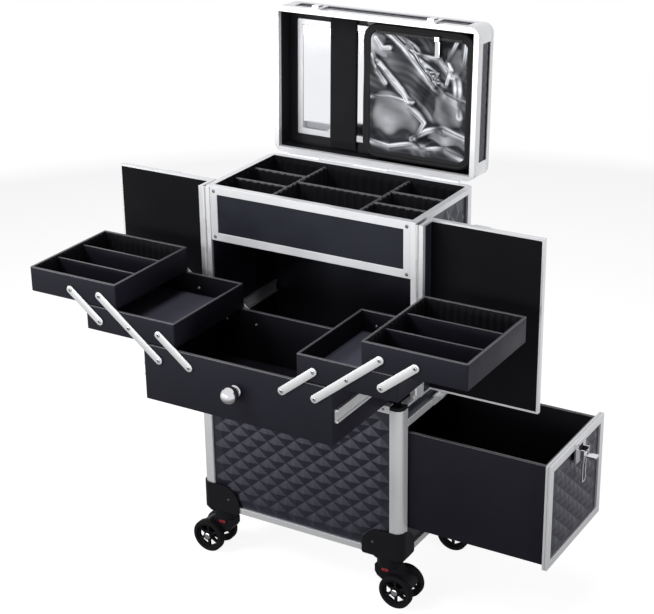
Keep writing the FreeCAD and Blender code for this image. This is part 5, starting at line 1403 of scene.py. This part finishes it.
@dataclass
class TrayStack:
    """Middle drawer, trays, arms and knob. Sizes are in millimetres."""

    drawer_wall: float = 5.0
    tray_wall: float = 4.0
    divider_wall: float = 3.0
    divider_drop: float = 4.0
    divider_sunk: float = 0.3
    divider_band: float = 0.5
    rib_overlap: float = 0.4
    rib_rise: float = 1.5
    rib_pitch: float = 11.0
    rib_depth: float = 1.6
    reach: Pair = (50.0, 39.5)
    link_pivot: float = 77.0
    long_pivot: float = 129.0
    outer_pivot: float = 231.0
    pivot_height: float = 404.0
    bar_width: float = 12.0
    front_bar: Pair = (-273.5, -271.5)
    rear_bar: Pair = (-92.5, -90.5)
    rivet_radius: float = 3.3
    tail_radius: float = 2.2
    knob_spot: Point = (0.0, -271.0, 385.5)
    knob_ball: float = 13.0
    knob_foot: float = 2.5
    neck_turn: float = -1.1

    def build(self) -> None:
        """Dresses the drawer, the trays and their arms."""
        vinyl_box("drawer_box", self.drawer_wall)
        for side, hand in SIDES:
            vinyl_box(f"{hand}_lower_tray", self.tray_wall, FLOOR_BOARD)
            vinyl_box(f"{hand}_upper_tray", self.tray_wall)
            self.compartments(f"{hand}_upper_tray")
            self.arms(side, hand)
        dressed("drawer_rails", STEEL, round_off=0.3)
        dressed("drawer_mid_rails", STEEL, round_off=0.3)
        self.tails()
        self.knob()

    def tails(self) -> None:
        """Sets the rivets' tails of the rear arms inside the drawer and the lower trays."""
        step_x, step_z = self.reach
        inner = self.rear_bar[0] - 0.5
        pivots = np.array([self.link_pivot, self.long_pivot])
        heights = {"drawer_box": (self.pivot_height, self.drawer_wall, pivots, (-1, 1))}
        for side, hand in SIDES:
            level = self.pivot_height + step_z
            heights[f"{hand}_lower_tray"] = (level, self.tray_wall, pivots + step_x, (side,))
        for node, (level, wall, across, sides) in heights.items():
            places = [(x * side, inner - wall, level) for x in across for side in sides]
            name = f"{node}_rivet_tails"
            screw_heads(name, places, (0, -1, 0), self.tail_radius, BODY_OF[node], RIVET)

    def compartments(self, node: str) -> None:
        """Divides an upper tray with two boards, and lines the walls that hold them with ribbed sheet."""
        low, high = node_box(node)
        low_in, high_in = low + self.tray_wall - self.rib_overlap, high - self.tray_wall + self.rib_overlap
        floor, top = low[2] + self.tray_wall, high[2] - self.divider_drop
        walls = [((low_in[0], low_in[1]), (low_in[0], high_in[1]), (1.0, 0.0)),
                 ((high_in[0], low_in[1]), (high_in[0], high_in[1]), (-1.0, 0.0)),
                 ((low_in[0], high_in[1]), (high_in[0], high_in[1]), (0.0, -1.0))]
        ribs = (top + self.rib_rise, self.rib_pitch, self.rib_depth)
        for name, (start, end, inward) in zip(("left", "right", "rear"), walls):
            sheet = ribbed_wall((*start, floor), (*end, floor), inward, *ribs)
            formed(f"{node}_{name}_ribs", sheet, BODY_OF[node], LINING, round_rows=True)
        half = self.divider_wall / 2
        foot = floor - self.divider_sunk
        boards = np.stack([slab((low_in[0], y - half, foot), (high_in[0], y + half, top), edge=0.6)
                           for y in thirds(low[1], high[1])])
        dividers = surface(f"{node}_dividers", boards, round_columns=True, copies=True)
        # The top band of each divider gets the rim band's painted highlight.
        toned(dividers, (BOARD, LIT_RIM_BAND), lambda middle, _: middle[:, 2] > top - self.divider_band)
        fitted(dividers, BODY_OF[node], BOARD)

    def arms(self, side: int, hand: str) -> None:
        """Makes one hand's arms: a front and a rear bar each, with hollow rivets at the pivots, each hollow
        filled with a dark plug of painted shade.
        """
        step = np.array(self.reach)
        starts = {"long_arms": (self.long_pivot, 0, 2), "drawer_links": (self.link_pivot, 0, 1),
                  "tray_links": (self.outer_pivot, 1, 1)}
        for label, (x, level, spans) in starts.items():
            node = f"{hand}_{label}"
            first = np.array([x, self.pivot_height + level * step[1]])
            pivots = (first + np.outer(np.arange(spans + 1), step)) * [side, 1]
            bars = np.stack([flat_bar(pivots[0], pivots[-1], self.bar_width, span)
                             for span in (self.front_bar, self.rear_bar)])
            body = BODY_OF[node]
            formed(f"{node}_bars", bars, body, ARM_STEEL, node, round_columns=True, copies=True)
            for end, face, way in (("front", self.front_bar[0], -1), ("rear", self.rear_bar[1], 1)):
                places = [(px, face, pz) for px, pz in pivots]
                out, radius = (0, way, 0), self.rivet_radius
                screw_heads(f"{node}_{end}_rivets", places, out, radius, body, RIVET)
                # A dark plug fills each rivet's hollow as painted shade.
                hollow = turned([(0, 0), (radius * 0.5, 0), (radius * 0.4, 0.7), (0, 0.72)], 12)
                dark_plugs = aimed(hollow, out, places)
                formed(f"{node}_{end}_rivet_hole_shade", dark_plugs, body, HOLE_SHADE, round_rows=True, copies=True)

    def knob(self) -> None:
        """Turns the knob: a base, a thin neck and a ball, about an axis out of the drawer's front."""
        size, foot = self.knob_ball, self.knob_foot
        profile = [(0, 0), (9, 0), (9, 1.2), (8.2, 2.2), (6.0, 2.8), (5.6, 4.2)]
        profile += [(size * math.cos(turn), foot + size * (1 + math.sin(turn)))
                    for turn in np.linspace(self.neck_turn, math.pi / 2, 22)]
        knob = aimed(turned(profile, 40), (0, -1, 0), [self.knob_spot])
        formed("round_drawer_knob", knob, "drawer", CHROME, "drawer_knob", round_rows=True, copies=True)


def vinyl_box(node: str, wall: float, floor: Finish = SHADED_INNER_BOARD) -> Piece:
    """Dresses an open box as one vinyl skin with a rim, inner walls and a floor of their own finishes: a
    painted highlight on the rim, painted shade on the inner walls, and painted shade on the floor unless
    another floor is given.
    """
    low, high = node_box(node)
    box = surface(node + "_skin", box_skin(low, high, wall), round_columns=True)

    def tones(middle: np.ndarray, normal: np.ndarray) -> np.ndarray:
        """Numbers the outer faces 0, the rim 1 (painted highlight), the inner walls 2 (painted shade) and the
        floor 3.
        """
        inner = wall - BOX_SLACK
        within = np.all((middle > low + inner) & (middle < high - [inner, inner, 0]), axis=1)
        inside = np.where(normal[:, 2] > LEVEL, 3, 2)
        return np.where(middle[:, 2] > high[2] - BOX_RIM, 1, np.where(within, inside, 0))

    toned(box, (BOARD, LIT_RIM_BAND, SHADED_INNER_BOARD, floor), tones)
    return fitted(box, BODY_OF[node], BOARD, node)


@dataclass
class SideDrawer:
    """Deep drawer at the side, its front and its catch. Sizes are in millimetres."""

    wall: float = 5.0
    edge_band: float = 0.3
    pad_low: Point = (402.0, -4.3, 258.3)
    pad_high: Point = (403.6, 10.3, 280.7)

    def build(self) -> None:
        """Dresses the side drawer."""
        vinyl_box("side_drawer_box", self.wall)
        low, high = node_box("side_drawer_front")
        low, high = low + self.edge_band, high - self.edge_band
        toned(embossed("side_drawer_front"), (EMBOSSED, ALUMINIUM),
              lambda middle, _: np.any((middle < low) | (middle > high), axis=1)
              & (middle[:, 0] > low[0]) & (middle[:, 0] < high[0]))
        dressed("side_drawer_frame", ALUMINIUM, round_off=0.6)
        dressed("side_drawer_runners", PLASTIC, round_off=0.6)
        dressed("drawer_latch", CHROME, round_off=0.6)
        dressed("latch_hasp", CHROME, round_off=0.6)
        pad = slab(self.pad_low, self.pad_high, edge=0.4)
        formed("catch_pad", pad, "side_drawer", PLASTIC, round_columns=True)


@dataclass
class Casters:
    """Four twin-wheel casters. Sizes are in millimetres."""

    axis: Pair = (147.0, 96.0)
    trail: float = 22.0
    wheel_radius: float = 27.0
    tyre_inside: float = 20.5
    hub_radius: float = 5.0
    outer_face: float = 24.4
    hood_face: float = 12.0
    button: Point = (2.6, 6.0, 1.2)
    button_height: float = 54.5

    def build(self) -> None:
        """Dresses the casters and their wheels."""
        for side_y, end in ENDS:
            for side_x, hand in SIDES:
                name = f"{end}_{hand}"
                dressed(f"{name}_caster", PLASTIC, round_off=2.0, segments=3)
                self.wheels(name, side_x)
                self.hub_caps(name, side_x, side_y)
                self.brake_button(name, side_x, side_y)

    def wheels(self, name: str, side_x: int) -> None:
        """Dresses a pair of wheels, with tyres of rubber and centres of plastic."""
        pair = dressed(f"{name}_wheels", RUBBER, round_off=0.5)
        axle = np.array([(self.axis[0] + self.trail) * side_x, self.wheel_radius])
        toned(pair, (RUBBER, PLASTIC),
              lambda middle, _: np.linalg.norm(middle[:, ::2] - axle, axis=1) < self.tyre_inside)

    def brake_button(self, name: str, side_x: int, side_y: int) -> None:
        """Sets a plain red button on the outer face of the hood, a block with round ends."""
        half_x, half_y, rise = self.button
        block = slab((-half_x, -half_y, -0.5), (half_x, half_y, rise), edge=0.5, corner=half_x)
        place = (self.axis[0] * side_x, (self.axis[1] + self.hood_face) * side_y, self.button_height)
        block = aimed(block, (0, side_y, 0), [place])
        formed(f"{name}_brake_button", block, f"{name}_caster", RED, round_columns=True, copies=True)

    def hub_caps(self, name: str, side_x: int, side_y: int) -> None:
        """Sets a low dome on the outer face of both wheels, each a turned profile."""
        r = self.hub_radius
        dome = turned([(0, -0.5), (r, -0.5), (r, 0.1), (r * 0.85, 0.6), (r * 0.45, 0.95), (0, 1.05)], 20)
        x, y = (self.axis[0] + self.trail) * side_x, self.axis[1] * side_y
        caps = np.concatenate([aimed(dome, (0, way, 0), [(x, y + self.outer_face * way, self.wheel_radius)])
                               for way in (-1, 1)])
        formed(f"{name}_hub_caps", caps, f"{name}_wheels", CHROME, round_rows=True, copies=True)


@dataclass
class PullHandle:
    """Telescopic handle behind the case."""

    def build(self) -> None:
        """Dresses the handle and its sleeves."""
        dressed("handle_sleeves", PLASTIC, round_off=0.6)
        dressed("telescopic_handle", CHROME, round_off=1.2)


def main() -> None:
    """Builds the studio and every sub-assembly in order."""
    logging.basicConfig(level=logging.INFO)
    for part in (Studio, LowerCase, TopBox, Lid, Doors, TrayStack, SideDrawer, Casters, PullHandle):
        part().build()


if __name__ == "__main__":
    main()
